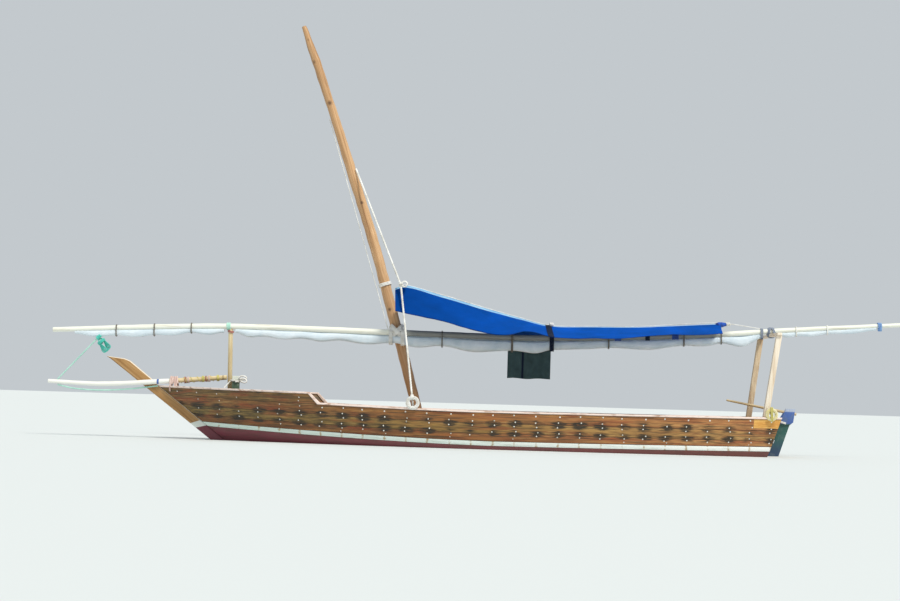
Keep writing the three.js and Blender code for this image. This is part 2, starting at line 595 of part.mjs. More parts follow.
const blade = toSolid(board([
  [bladeFore(-800), -800], [bladeFore(610), 610], [5640, 795], [5790, 795], [5760, 570], [5700, 515],
  [5530, 0], [5590, -380], [5480, -800],
], BLADE_HALF));
const cheeks = toSolid(board([
  [headFore(530), 530], [headFore(610), 610], [5640, 795], [5790, 795], [5760, 570], [5706, 530],
], HEAD_HALF));
const tillerSpace = toSolid(spar(TILLER, 0, 8, 10, GAP));
let rudder = blade.add(cheeks).subtract(tillerSpace);
for (const z of PINTLES) {
  const tall = IRON.half + IRON.clearance;
  rudder = rudder.subtract(toSolid(onAxis(block([-60, IRON.radius + 10], [-60, 60], [-tall, tall]), z)));
  rudder = rudder.add(toSolid(onAxis(upright(IRON.pin, tall + 8), z)));
}
add('rudder', toGeometry(rudder), 'rudderPaint');
add('tiller', spar(TILLER, 0, 8, 10), 'postWood');

export default dhow;
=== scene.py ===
# %% [markdown]
# # A wooden dhow
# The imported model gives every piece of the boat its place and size. This lesson dresses it: planks get
# their seams and nails, poles their grain, the sail and awning their folds, and ropes their strands.
# Lengths are in metres, the bow is at -X, the port side at -Y, and the waterline at Z = 0.

# %% The frame
import math
import random

import bmesh
import bpy
from mathutils import Matrix, Vector, noise
from mathutils.bvhtree import BVHTree


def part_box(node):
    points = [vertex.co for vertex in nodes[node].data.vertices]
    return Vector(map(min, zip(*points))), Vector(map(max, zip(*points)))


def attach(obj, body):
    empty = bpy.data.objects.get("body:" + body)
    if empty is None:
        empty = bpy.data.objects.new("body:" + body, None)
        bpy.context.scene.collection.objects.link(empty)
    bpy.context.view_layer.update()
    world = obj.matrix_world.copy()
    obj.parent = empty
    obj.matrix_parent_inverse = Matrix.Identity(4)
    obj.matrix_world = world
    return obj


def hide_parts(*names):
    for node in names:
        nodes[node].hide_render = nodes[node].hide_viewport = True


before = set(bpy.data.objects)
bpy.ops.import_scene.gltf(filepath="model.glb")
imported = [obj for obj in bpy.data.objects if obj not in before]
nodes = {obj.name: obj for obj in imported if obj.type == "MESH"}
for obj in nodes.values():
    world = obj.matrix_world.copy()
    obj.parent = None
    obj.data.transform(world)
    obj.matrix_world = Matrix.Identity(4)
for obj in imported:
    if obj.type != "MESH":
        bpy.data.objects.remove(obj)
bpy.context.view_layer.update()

SIDES = (("port", -1), ("starboard", 1))

# %% [markdown]
# ## Camera and light
# The boat is seen from low down and far off, through a long lens: the eye is 0.75 m above the waterline
# and 32 m away, looks up by 3 degrees, and the picture leans by 1.7 degrees. The key light is a wide soft
# sun, high on the port quarter, and a pale world fills the shadows.

# %% Camera
camera_data = bpy.data.cameras.new("camera")
camera_data.sensor_width = 36
camera_data.lens = 76.8
camera_data.clip_end = 2000
camera = bpy.data.objects.new("camera", camera_data)
EYE = Vector((0, -32, 0.75))
PITCH = math.radians(93.01)
LEAN = math.radians(1.7)
camera.matrix_world = (
    Matrix.Translation(EYE) @ Matrix.Rotation(PITCH, 4, "X") @ Matrix.Rotation(LEAN, 4, "Z")
)
print("the eye is", EYE.y, "m to port of the boat, with a", camera_data.lens, "mm lens")
bpy.context.scene.collection.objects.link(camera)
bpy.context.scene.camera = camera
bpy.context.scene.view_settings.view_transform = "Standard"


# %% Colours and material nodes
def pigment(hex_colour):
    """A colour given as sRGB hex, turned to linear."""
    parts = [int(hex_colour[i:i + 2], 16) / 255 for i in (1, 3, 5)]
    return [c / 12.92 if c <= 0.04045 else ((c + 0.055) / 1.055) ** 2.4 for c in parts] + [1]


def add(tree, kind, links=None, stops=(), **settings):
    """Adds a node with its settings, its links or values, and the stops of its colour ramp."""
    node = tree.nodes.new("ShaderNode" + kind)
    for name, value in settings.items():
        setattr(node, name, value)
    for socket, value in (links or {}).items():
        if isinstance(value, bpy.types.NodeSocket):
            tree.links.new(value, node.inputs[socket])
        else:
            node.inputs[socket].default_value = pigment(value) if isinstance(value, str) else value
    for i, (position, colour) in enumerate(stops):
        elements = node.color_ramp.elements
        stop = elements[i] if i < 2 else elements.new(position)
        stop.position = position
        stop.color = pigment(colour)
    return node


def new_material(name, roughness=0.6, **inputs):
    """A material with its own shader: returns the material, its node tree and the shader."""
    material = bpy.data.materials.new(name)
    material.use_nodes = True
    tree = material.node_tree
    shader = tree.nodes["Principled BSDF"]
    shader.inputs["Roughness"].default_value = roughness
    for socket, value in inputs.items():
        shader.inputs[socket.replace("_", " ")].default_value = value
    return material, tree, shader


def noise_on(tree, place, size, turn=(0, 0, 0), detail=5, distortion=0.4, move=(0, 0, 0)):
    """Noise with cells of a real size in metres, turned so that its first side lies along the grain."""
    laid = add(tree, "Mapping", {"Vector": place, "Rotation": turn, "Scale": size, "Location": move},
               vector_type="TEXTURE").outputs[0]
    return add(tree, "TexNoise", {
        "Vector": laid, "Scale": 1, "Detail": detail, "Roughness": 0.6, "Distortion": distortion,
    }).outputs[0]


def dress(tree, shader, colour, height=None, depth=0.001):
    """Gives the shader its colour, and a relief whose height is a real depth in metres."""
    tree.links.new(colour, shader.inputs["Base Color"])
    if height:
        bump = add(tree, "Bump", {"Height": height, "Strength": 1, "Distance": depth})
        tree.links.new(bump.outputs[0], shader.inputs["Normal"])


def laid_over(tree, colour, value, start, end, paint, most=1.0):
    """Lays a paint over a colour: none where a value is at start, and the most where it reaches end."""
    share = add(tree, "MapRange", {"Value": value, "From Min": start, "From Max": end, "To Max": most})
    return add(tree, "Mix", {"Factor": share.outputs[0], 6: colour, 7: paint}, data_type="RGBA").outputs[2]


# %% Light
scene = bpy.context.scene
world = bpy.data.worlds.new("pale studio")
world.use_nodes = True
world.node_tree.nodes["Background"].inputs[0].default_value = pigment("#e9f0f5")
world.node_tree.nodes["Background"].inputs[1].default_value = 0.67
scene.world = world
sun_data = bpy.data.lights.new("soft key", "SUN")
sun_data.energy = 2.5
sun_data.angle = math.radians(12)
sun_data.color = (1, 0.965, 0.9)
sun = bpy.data.objects.new("soft key", sun_data)
SUN_DIRECTION = Vector((-0.42, 0.62, -1.0))
sun.rotation_euler = SUN_DIRECTION.to_track_quat("-Z", "Y").to_euler()
scene.collection.objects.link(sun)


# %% [markdown]
# ## Timber
# The boat is built of hardwood planks and of the trunks of young trees. Grain is drawn as noise cells
# that are long along the wood and thin across it. Real grain is finer than a pixel here, so the streaks
# are drawn about 20 mm wide, the width of the bands in a flat-sawn plank.

# %% Timber materials
def timber(name, colours, size, turn=(0, 0, 0), roughness=0.6, depth=0.002):
    """Wood with grain streaks over broad patches: colours run from dark to pale."""
    material, tree, shader = new_material(name, roughness)
    place = add(tree, "TexCoord").outputs["Object"]
    grain = noise_on(tree, place, size, turn, detail=6, distortion=0.7)
    patch = noise_on(tree, place, [6 * size[0], 9 * size[1], 9 * size[2]], turn, detail=3)
    both = add(tree, "Math", {0: grain, 1: patch}, operation="ADD").outputs[0]
    share = add(tree, "MapRange", {"Value": both, "From Min": 0.66, "From Max": 1.34}).outputs[0]
    stops = [(i / (len(colours) - 1), colour) for i, colour in enumerate(colours)]
    colour = add(tree, "ValToRGB", {"Fac": share}, stops=stops).outputs[0]
    dress(tree, shader, colour, grain, depth)
    return material, tree, shader, colour, place


GRAIN_ALONG = (0.55, 0.022, 0.022)
GRAIN_ACROSS = (0.022, 0.55, 0.022)
MAST_TURN = (0, math.radians(72.1), 0)
STEM_TURN = (0, math.radians(37.1), 0)
POST_TURN = (0, math.radians(90), 0)
DECK_GREYS = ["#74604a", "#9b8262", "#bba27e", "#d4c09c"]
inner_wood = timber("salt-grey deck timber", DECK_GREYS, GRAIN_ALONG, roughness=0.8)[0]
seat_wood = timber("worn seat timber", DECK_GREYS, GRAIN_ACROSS, roughness=0.8)[0]
post_wood = timber(
    "pale squared timber", ["#bfa284", "#e2cdb2", "#f3e6d2", "#faf3e6"], GRAIN_ALONG, POST_TURN, 0.7,
)[0]
tan_post = timber(
    "weathered tan timber", ["#8c745a", "#b79c7c", "#d2bc9c", "#e6d6ba"], (0.3, 0.03, 0.03),
    POST_TURN, 0.7,
)[0]
tiller_wood = timber(
    "hand-worn tiller", ["#8a7350", "#b39a70", "#cdb88e", "#ddcba6"], GRAIN_ALONG, roughness=0.5,
)[0]
new_timber = timber("fresh golden plank", ["#c0823a", "#dca04c", "#eab864", "#f6d090"], GRAIN_ALONG)[0]

# %% [markdown]
# The stem is golden oiled timber, with a painted highlight of pale cream on its faces that point up. Low
# down it carries the bottom's colours: a white band, and maroon below it. Two sloping lines in X and Z part
# them.

# %% Stem finish
stem_wood, tree, shader, colour, place = timber(
    "oiled stem timber", ["#6a4420", "#946a38", "#ad8450", "#c6a274"], GRAIN_ALONG, STEM_TURN, 0.55,
)
# Painted highlight: the faces that point up are laid over with pale cream.
upward_painted_highlight = add(tree, "SeparateXYZ", {0: add(tree, "NewGeometry").outputs["Normal"]}).outputs[2]
colour = laid_over(tree, colour, upward_painted_highlight, 0.2, 0.45, "#f2e6d2", 0.85)
for slope, level, paint in ((0.34, 1.708, "#dde4dc"), (0.24, 1.191, "#713640")):
    height = add(tree, "VectorMath", {0: place, 1: (-slope, 0, 1)}, operation="DOT_PRODUCT").outputs["Value"]
    colour = laid_over(tree, colour, height, level + 0.004, level - 0.004, paint)
dress(tree, shader, colour)

# %% [markdown]
# The mast is one tree trunk with its bark off: orange-brown and darker low down, partly its own colour
# and partly painted shade below the awning, paler and pinker above, with dark knots where branches were
# cut. A knot darkens the wood within reach of one point on the trunk's port side.

# %% Mast finish
mast_wood, tree, shader, colour, place = timber(
    "debarked mast trunk", ["#8c6440", "#bb8f62", "#d6ac7e", "#e8c69a"], (0.9, 0.03, 0.03), MAST_TURN, 0.5,
)
height = add(tree, "SeparateXYZ", {0: place}).outputs[2]
# Darker and browner towards the foot: partly the trunk's own colour, partly painted shade below the awning.
colour = laid_over(tree, colour, height, 3.0, 0.7, "#9a6844", 0.62)
KNOTS = [  # x, z and reach
    (-2.11, 5.68, 0.055), (-2.41, 6.36, 0.05), (-2.51, 6.74, 0.04), (-1.0, 2.25, 0.04), (-1.52, 4.02, 0.035),
]
for x, z, reach in KNOTS:
    away = add(tree, "VectorMath", {0: place, 1: (x, -0.08, z)}, operation="DISTANCE").outputs["Value"]
    colour = laid_over(tree, colour, away, reach, 0.3 * reach, "#4e3020", 0.8)
dress(tree, shader, colour)

# %% [markdown]
# The bow post is a bare pole, cream at its top and tan at its foot, where the cream top is painted sunlight.
# The bowsprit is a bamboo: its fore end is painted white up to a blue mark, and aft of that it shows its own
# yellow with dark joints.

# %% Bow pole finishes
bow_post_wood, tree, shader, colour, place = timber(
    "cream and tan pole", ["#a8946a", "#cfbb92", "#e6dab6", "#f4edd0"], GRAIN_ALONG, POST_TURN, 0.65,
)
# Painted sunlight: the pole is cream at its top and laid over with tan towards its foot.
height = add(tree, "SeparateXYZ", {0: place}).outputs[2]
dress(tree, shader, laid_over(tree, colour, height, 1.7, 0.9, "#ad925e", 0.6))

bamboo, tree, shader, colour, place = timber(
    "white-tipped bamboo", ["#b79c68", "#dcc796", "#ecdcb6", "#f4ead0"], GRAIN_ALONG, roughness=0.45,
)
along = add(tree, "SeparateXYZ", {0: place}).outputs[0]
within = add(tree, "Math", {0: along, 1: 0.31}, operation="PINGPONG").outputs[0]
colour = laid_over(tree, colour, within, 0.022, 0.006, "#7d6238", 0.6)
for start, end, paint in ((-4.60, -4.62, "#f1f0e8"), (-4.785, -4.79, "#4a66a8"), (-4.82, -4.825, "#f1f0e8")):
    colour = laid_over(tree, colour, along, start, end, paint)
dress(tree, shader, colour)

# %% [markdown]
# ## The planked sides
# The planks are oiled, not painted. They run from olive-brown at the bow to golden brown at the stern.
# Rust from the nails has stained the wood black in flames that lie along the seams, in upright columns
# where the ribs stand behind. The columns are found by dividing X by the spacing of the nails. The seams
# are found by the planks' own UV map, whose V is a whole number on each seam. Each strake is one tree's
# wood, so it has a tone of its own.

# %% Planking finish
NAILS_FIRST = -4.1055
NAILS_SPACING = 0.3465


def near_nails(tree, along, reach):
    """1 at each column of nails, falling to 0 at reach metres. It counts from ahead of the whole boat."""
    before_all = NAILS_FIRST - NAILS_SPACING * 20.5
    shifted = add(tree, "Math", {0: along, 1: before_all}, operation="SUBTRACT").outputs[0]
    within = add(tree, "Math", {0: shifted, 1: NAILS_SPACING}, operation="MODULO").outputs[0]
    offset = add(tree, "Math", {0: within, 1: NAILS_SPACING / 2}, operation="SUBTRACT").outputs[0]
    distance = add(tree, "Math", {0: offset}, operation="ABSOLUTE").outputs[0]
    return add(tree, "MapRange", {"Value": distance, "From Min": reach, "From Max": 0.0}).outputs[0]


hull_wood, tree, shader = new_material("oiled planking with nail stains", 0.55)
surface = add(tree, "TexCoord").outputs
place = surface["Object"]
along = add(tree, "SeparateXYZ", {0: place}).outputs[0]
seams_up = add(tree, "SeparateXYZ", {0: surface["UV"]}).outputs[1]
reach = add(tree, "MapRange", {"Value": along, "From Min": -4.8, "From Max": 5.2}).outputs[0]
tone = add(tree, "ValToRGB", {"Fac": reach}, stops=[
    (0, "#4b3e26"), (0.24, "#564123"), (0.5, "#75522c"), (1, "#b57445"),
]).outputs[0]
gold = add(tree, "ValToRGB", {"Fac": reach}, stops=[
    (0, "#82693a"), (0.24, "#926d37"), (0.5, "#b77f3e"), (1, "#dfae6c"),
]).outputs[0]
boards = noise_on(tree, place, (1.3, 0.9, 0.06), detail=4, distortion=0.4)
colour = laid_over(tree, tone, boards, 0.4, 0.64, gold)
up_side = add(tree, "Math", {0: seams_up, 1: 0.25}, operation="MULTIPLY").outputs[0]
own_tone = add(tree, "ValToRGB", {"Fac": up_side}, stops=[
    (0.24, "#914a20"), (0.26, "#9c8642"), (0.49, "#9c8642"), (0.51, "#9c5827"), (0.72, "#9c5827"),
    (0.78, "#7c5c2e"),
]).outputs[0]
colour = add(tree, "Mix", {"Factor": 0.34, 6: colour, 7: own_tone}, data_type="RGBA").outputs[2]
red = noise_on(tree, place, (0.7, 0.5, 0.07), detail=4, distortion=0.5, move=(0.4, 0, 0.3))
colour = laid_over(tree, colour, red, 0.51, 0.64, "#8f3c1c", 0.6)
grain = noise_on(tree, place, (0.5, 0.03, 0.018), detail=6, distortion=0.6)
colour = laid_over(tree, colour, grain, 0.54, 0.32, "#4e3520", 0.6)
pale = noise_on(tree, place, (0.6, 0.3, 0.022), detail=5, distortion=0.4, move=(0.7, 0, 0.2))
colour = laid_over(tree, colour, pale, 0.56, 0.7, "#cfa56a", 0.55)
streak = noise_on(tree, place, (0.7, 0.3, 0.02), detail=5, distortion=0.3, move=(0, 0, 0.7))
colour = laid_over(tree, colour, streak, 0.53, 0.63, "#332c1c", 0.72)

# %% [markdown]
# The stains spread from the nails beside the second and third seams. On the raised bow planks, above the
# fourth seam, they are weaker. Where the flame noise is low a nail has no stain at all.

# %% Nail stains
to_seam = add(tree, "Math", {0: seams_up, 1: 0.5}, operation="PINGPONG").outputs[0]
near_seam = add(tree, "MapRange", {"Value": to_seam, "From Min": 0.5, "From Max": 0.12, "To Min": 0.1})
rows = add(tree, "ValToRGB", {"Fac": up_side}, stops=[
    (0.1, "#000000"), (0.17, "#ffffff"), (0.6, "#ffffff"), (0.68, "#505050"), (1, "#b0b0b0"),
]).outputs[0]
flames = noise_on(tree, place, (0.17, 0.3, 0.018), detail=6, distortion=0.7, move=(0.3, 0, 0.1))
weak = noise_on(tree, place, (0.45, 0.8, 0.17), detail=1, distortion=0, move=(0.1, 0, 0.6))
strength = add(tree, "MapRange", {
    "Value": weak, "From Min": 0.34, "From Max": 0.58, "To Min": 0.36, "To Max": 1.3,
})
rust = add(tree, "Math", {0: flames, 1: 0.32}, operation="SUBTRACT").outputs[0]
for factor in (near_nails(tree, along, 0.17), near_seam.outputs[0], rows, strength.outputs[0]):
    rust = add(tree, "Math", {0: rust, 1: factor}, operation="MULTIPLY").outputs[0]
colour = laid_over(tree, colour, rust, 0.03, 0.125, "#282318", 0.95)
dress(tree, shader, colour, grain, 0.0015)

# %% [markdown]
# The seams between the planks are caulked with tarred fibre. It shows as a dark, crumbly line.

# %% Caulking
caulk, tree, shader = new_material("tarred seam", 0.7)
place = add(tree, "TexCoord").outputs["Object"]
crumbs = noise_on(tree, place, (0.2, 0.02, 0.02))
colour = add(tree, "ValToRGB", {"Fac": crumbs}, stops=[(0.3, "#33271a"), (0.7, "#6b5236")]).outputs[0]
dress(tree, shader, colour, crumbs, 0.001)


# %% [markdown]
# ## Paint
# Brushed oil paint: a white boot stripe with rust runs below the nails, and maroon below it that turns
# browner towards the stern. The cap rail's pale pink paint is rubbed through by ropes and hands.

# %% Painted finishes
def brushed_paint(name, colour, worn, size, wear=(0.58, 0.72), amount=0.8, at_stern=None):
    """Brushed paint with worn patches that show another colour. It may change from bow to stern."""
    material, tree, shader = new_material(name, 0.45)
    place = add(tree, "TexCoord").outputs["Object"]
    along = add(tree, "SeparateXYZ", {0: place}).outputs[0]
    paint = laid_over(tree, colour, along, -4.2, 4.8, at_stern or colour)
    patches = noise_on(tree, place, size, detail=7, distortion=0.5)
    paint = laid_over(tree, paint, patches, *wear, worn, amount)
    dress(tree, shader, paint, noise_on(tree, place, (0.2, 0.006, 0.006), detail=2), 0.0006)
    return material, tree, shader, paint, place


cap_paint = brushed_paint("pale cap rail paint", "#f2ddd2", "#a77c5c", (0.25, 0.05, 0.05), (0.5, 0.66))[0]
bottom_paint = brushed_paint(
    "maroon bottom paint", "#7d3946", "#63403c", (0.5, 0.2, 0.05), (0.42, 0.7), at_stern="#7a463f",
)[0]
bollard_paint, tree, shader, paint, place = brushed_paint(
    "green bollard paint", "#48604c", "#8d9384", (0.05, 0.05, 0.05), (0.5, 0.7),
)
height = add(tree, "SeparateXYZ", {0: place}).outputs[2]
dress(tree, shader, laid_over(tree, paint, height, 0.985, 1.005, "#dcdfd2", 0.9))

stripe_paint, tree, shader, paint, place = brushed_paint(
    "white boot stripe paint", "#d6e9e0", "#a9b8a4", (0.35, 0.2, 0.025), (0.54, 0.74), 0.7, "#fafdf9",
)
along = add(tree, "SeparateXYZ", {0: place}).outputs[0]
spots = noise_on(tree, place, (0.07, 0.3, 0.05), detail=4)
rust = add(tree, "Math", {0: near_nails(tree, along, 0.08), 1: spots}, operation="MULTIPLY").outputs[0]
dress(tree, shader, laid_over(tree, paint, rust, 0.36, 0.56, "#a98645", 0.8))

# %% [markdown]
# The yard's white paint is laid over with grey under the awning: painted shade of the awning. The rudder
# has three paints: dark teal on the blade, turning slate towards the waterline, blue on its head and pale
# blue on top.

# %% Pole and rudder paint
pole_paint, tree, shader, paint, place = brushed_paint(
    "cream pole paint", "#eff0e3", "#b9ac90", (0.5, 0.04, 0.04), (0.54, 0.72), 0.6,
)
along = add(tree, "SeparateXYZ", {0: place}).outputs[0]
# Painted shade: the yard is laid over with grey where it lies under the awning, between these two ramps.
from_fore = add(tree, "MapRange", {"Value": along, "From Min": -0.95, "From Max": -0.6}).outputs[0]
from_aft = add(tree, "MapRange", {"Value": along, "From Min": 4.7, "From Max": 4.4, "To Max": 0.8}).outputs[0]
painted_shade_under_awning = add(tree, "Math", {0: from_fore, 1: from_aft}, operation="MULTIPLY").outputs[0]
paint = add(tree, "Mix", {"Factor": painted_shade_under_awning, 6: paint, 7: "#5c5e60"}, data_type="RGBA").outputs[2]
dress(tree, shader, paint)

rudder_paint, tree, shader = new_material("three rudder paints", 0.5)
place = add(tree, "TexCoord").outputs["Object"]
height = add(tree, "SeparateXYZ", {0: place}).outputs[2]
share = add(tree, "MapRange", {"Value": height, "From Min": -0.8, "From Max": 0.9}).outputs[0]
paint = add(tree, "ValToRGB", {"Fac": share}, stops=[
    (0, "#34496a"), (0.52, "#2c4460"), (0.65, "#2c5c56"), (0.785, "#2a5a50"), (0.792, "#4765a6"),
    (0.905, "#4765a6"), (0.912, "#a9b4c8"),
]).outputs[0]
worn = noise_on(tree, place, (0.12, 0.05, 0.16), detail=7)
dress(tree, shader, laid_over(tree, paint, worn, 0.5, 0.68, "#6d7c7c", 0.6), worn, 0.0015)

# %% [markdown]
# The gudgeons are galvanised iron, grey with the spangle of its zinc. The nails' heads are rubbed bright.

# %% Iron
iron, tree, shader = new_material("galvanised iron", 0.5, Metallic=0.8)
spangle = noise_on(tree, add(tree, "TexCoord").outputs["Object"], (0.01, 0.01, 0.01))
colour = add(tree, "ValToRGB", {"Fac": spangle}, stops=[(0.35, "#6f6a64"), (0.65, "#a5a19a")]).outputs[0]
dress(tree, shader, colour, spangle, 0.0005)
nail_iron, tree, shader = new_material("bright nail heads", 0.4, Metallic=0.2)
spangle = noise_on(tree, add(tree, "TexCoord").outputs["Object"], (0.05, 0.05, 0.05))
colour = add(tree, "ValToRGB", {"Fac": spangle}, stops=[(0.35, "#b9b4a4"), (0.55, "#f2f0e8")]).outputs[0]
dress(tree, shader, colour)


# %% [markdown]
# ## Cloth and rope
# Sailcloth is a plain cotton weave, the awning a woven plastic tarpaulin, and the ropes are laid from
# three strands. Threads are under a millimetre, so the weave is drawn ten times as coarse to show at all.
# The tarpaulin's gloss is kept low, because dust and creases dull it.

# %% Cloth and rope materials
BAND_PER_METRE = 0.314  # a wave texture of this scale has one band in each metre


def woven(name, colour, shade, thread, roughness=0.85, patch=0.35, depth=0.0012, fore=None, **inputs):
    """Plain weave on the cloth's own UV map, in metres, with faded patches. fore is painted shade on its
    first 3 m.
    """
    material, tree, shader = new_material(name, roughness, **inputs)
    cloth = add(tree, "TexCoord").outputs["UV"]
    faded = noise_on(tree, cloth, (patch, patch, patch), detail=5)
    mixed = laid_over(tree, colour, faded, 0.35, 0.68, shade)
    # Painted shade: the awning's steep fore part, which gets less sun, is laid over with darker blue.
    if fore:
        from_fore = add(tree, "SeparateXYZ", {0: cloth}).outputs[0]
        mixed = laid_over(tree, mixed, from_fore, 3.0, 0.6, fore, 0.6)
    bands = {"Vector": cloth, "Scale": BAND_PER_METRE / thread}
    warp = add(tree, "TexWave", bands, bands_direction="X").outputs["Fac"]
    weft = add(tree, "TexWave", bands, bands_direction="Y").outputs["Fac"]
    weave = add(tree, "Math", {0: warp, 1: weft}, operation="ADD").outputs[0]
    dress(tree, shader, mixed, weave, depth)
    return material


# The sailcloth's faint blue tint is painted skylight, which falls on it in the awning's shade.
sail_cloth = woven("cotton sailcloth", "#f0f9ff", "#d3e4ee", 0.008, Sheen_Weight=0.1)
# The awning's darker fore colour is painted shade.
awning_cloth = woven(
    "blue tarpaulin", "#0758c4", "#064a9e", 0.007, 0.9, 0.6, fore="#04377a", Specular_IOR_Level=0.04,
)
# The hems' darker blue is painted shade, and the ridge's pale blue band a painted highlight.
awning_hem = woven("shaded blue hem", "#083884", "#072c62", 0.007, 0.9, 0.5, Specular_IOR_Level=0.04)
ridge_highlight_cloth = woven("pale blue ridge highlight", "#a4d2f0", "#76b0e0", 0.006)
curtain_cloth = woven("dark green curtain cloth", "#40595c", "#2f4649", 0.008, patch=0.2)
strap_cloth = woven("blue-grey strap webbing", "#262f44", "#1b2334", 0.005, Specular_IOR_Level=0.05)


def rope_fibre(name, colour, dirt):
    """Twisted fibre, greyed in patches."""
    material, tree, shader = new_material(name, 0.85, Sheen_Weight=0.2)
    place = add(tree, "TexCoord").outputs["Object"]
    patches = noise_on(tree, place, (0.12, 0.12, 0.12), detail=4)
    fibres = noise_on(tree, place, (0.004, 0.004, 0.004), detail=2)
    dress(tree, shader, laid_over(tree, colour, patches, 0.4, 0.7, dirt), fibres, 0.0008)
    return material


white_rope = rope_fibre("white laid rope", "#f6f5f0", "#d0ccc0")
teal_rope = rope_fibre("faded teal rope", "#c0ecdc", "#98d0c0")
bright_teal = rope_fibre("teal cord", "#5ed6c4", "#3eb2a2")
pink_rope = rope_fibre("old pink rope", "#e4ccc2", "#c09a8c")
red_cord = rope_fibre("faded red cord", "#b8746a", "#96625a")
pale_rope = rope_fibre("pale yellow rope", "#faf3cc", "#e6d78e")
yellow_cord = rope_fibre("yellow-green cord", "#dcd27c", "#b8ae5e")
grey_cord = rope_fibre("blue-grey cord", "#8f98a8", "#5f6a80")
dark_cord = rope_fibre("weathered dark cord", "#7e766b", "#5a534a")
blue_cord = rope_fibre("blue cord", "#3460b4", "#223f86")
sky_cord = rope_fibre("faded sky-blue cord", "#8ab0dc", "#3c66ac")
folded_tarpaulin = rope_fibre("gathered blue tarpaulin", "#1450b6", "#0a3884")
print(len(bpy.data.materials), "finishes, before those of the floor")


# %% [markdown]
# ## Making pieces
# A CAD node arrives as loose triangles. A welded copy of it can be bevelled and cut. Every finished mesh
# becomes an object at the origin that rides on a body and may stand for CAD nodes.

# %% Pieces from meshes
def put(name, bm, finish, stands_for=(), body="hull", sharp=38, more=()):
    """Turns a bmesh into a piece of the boat."""
    for face in bm.faces:
        face.smooth = True
    for edge in bm.edges:
        edge.smooth = edge.is_manifold and edge.calc_face_angle() < math.radians(sharp)
    mesh = bpy.data.meshes.new(name)
    bm.to_mesh(mesh)
    bm.free()
    for material in (finish, *more):
        mesh.materials.append(material)
    piece = bpy.data.objects.new(name, mesh)
    scene.collection.objects.link(piece)
    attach(piece, body)
    if stands_for:
        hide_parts(*stands_for)
    print(name, "has", len(mesh.polygons), "faces")
    return piece


def welded(node, flat=False):
    """A copy of a CAD node's mesh with its corners merged and its triangles joined to larger faces."""
    bm = bmesh.new()
    bm.from_mesh(nodes[node].data)
    bmesh.ops.remove_doubles(bm, verts=bm.verts, dist=1e-5)
    if flat:
        bmesh.ops.dissolve_limit(bm, angle_limit=math.radians(1), verts=bm.verts, edges=bm.edges)
    else:
        bmesh.ops.join_triangles(
            bm, faces=bm.faces, angle_face_threshold=math.radians(12),
            angle_shape_threshold=math.radians(175),
        )
    return bm


def eased(bm, width, segments=2, angle=40):
    """Rounds every edge sharper than angle, and returns the new faces."""
    edges = [e for e in bm.edges if e.is_manifold and e.calc_face_angle() > math.radians(angle)]
    made = bmesh.ops.bevel(
        bm, geom=edges, offset=width, offset_type="OFFSET", affect="EDGES", segments=segments, profile=0.5,
        material=-1, clamp_overlap=True,
    )
    return made["faces"]


def worn_timber(node, finish, worn, segments=3, angle=40, flat=True, body="hull", name=None):
    """A piece that stands for one rigid CAD node, with its edges worn round."""
    bm = welded(node, flat)
    eased(bm, worn, segments, angle)
    return put(name or f"{node}_timber", bm, finish, [node], body)


# %% [markdown]
# ## Hull planks
# Each seam sweeps up towards the bow and a little towards the stern. Its height is given at the stem,
# amidships and at the transom. Each strake is a welded copy of its CAD node. Its long edges are bevelled,
# so that two strakes meet in a groove, and the groove's faces take the dark caulking. A repair in fresh
# wood was let into the upper strake at the port quarter: two planes cut its outline into that strake.

# %% Seams
SEAMS = {
    "first": (0.298, 0.135, 0.170), "second": (0.418, 0.259, 0.261), "third": (0.574, 0.420, 0.429),
    "sheer": (0.736, 0.588, 0.617), "bow": (0.848, 0.784, 0.784),
}
FORE_END, FORE_RAKE = 3.665, 1.3  # at a height z the planks start at x = -(3.665 + 1.3 z)
LENGTH, LENGTH_GAIN = 8.88, 1.61  # and are 8.88 + 1.61 z long
WIDEST = 0.49  # share of that length where a seam is lowest


def seam_height(seam, x):
    """Height of a seam at x. The stem and the transom lean, so the share of the length depends on it."""
    at_stem, amidships, at_transom = SEAMS[seam]
    z = amidships
    for _ in range(3):
        share = min(max((x + FORE_END + FORE_RAKE * z) / (LENGTH + LENGTH_GAIN * z), 0), 1)
        if share < WIDEST:
            z = amidships + (at_stem - amidships) * ((WIDEST - share) / WIDEST) ** 1.5
        else:
            z = amidships + (at_transom - amidships) * ((share - WIDEST) / (1 - WIDEST)) ** 1.6
    return z


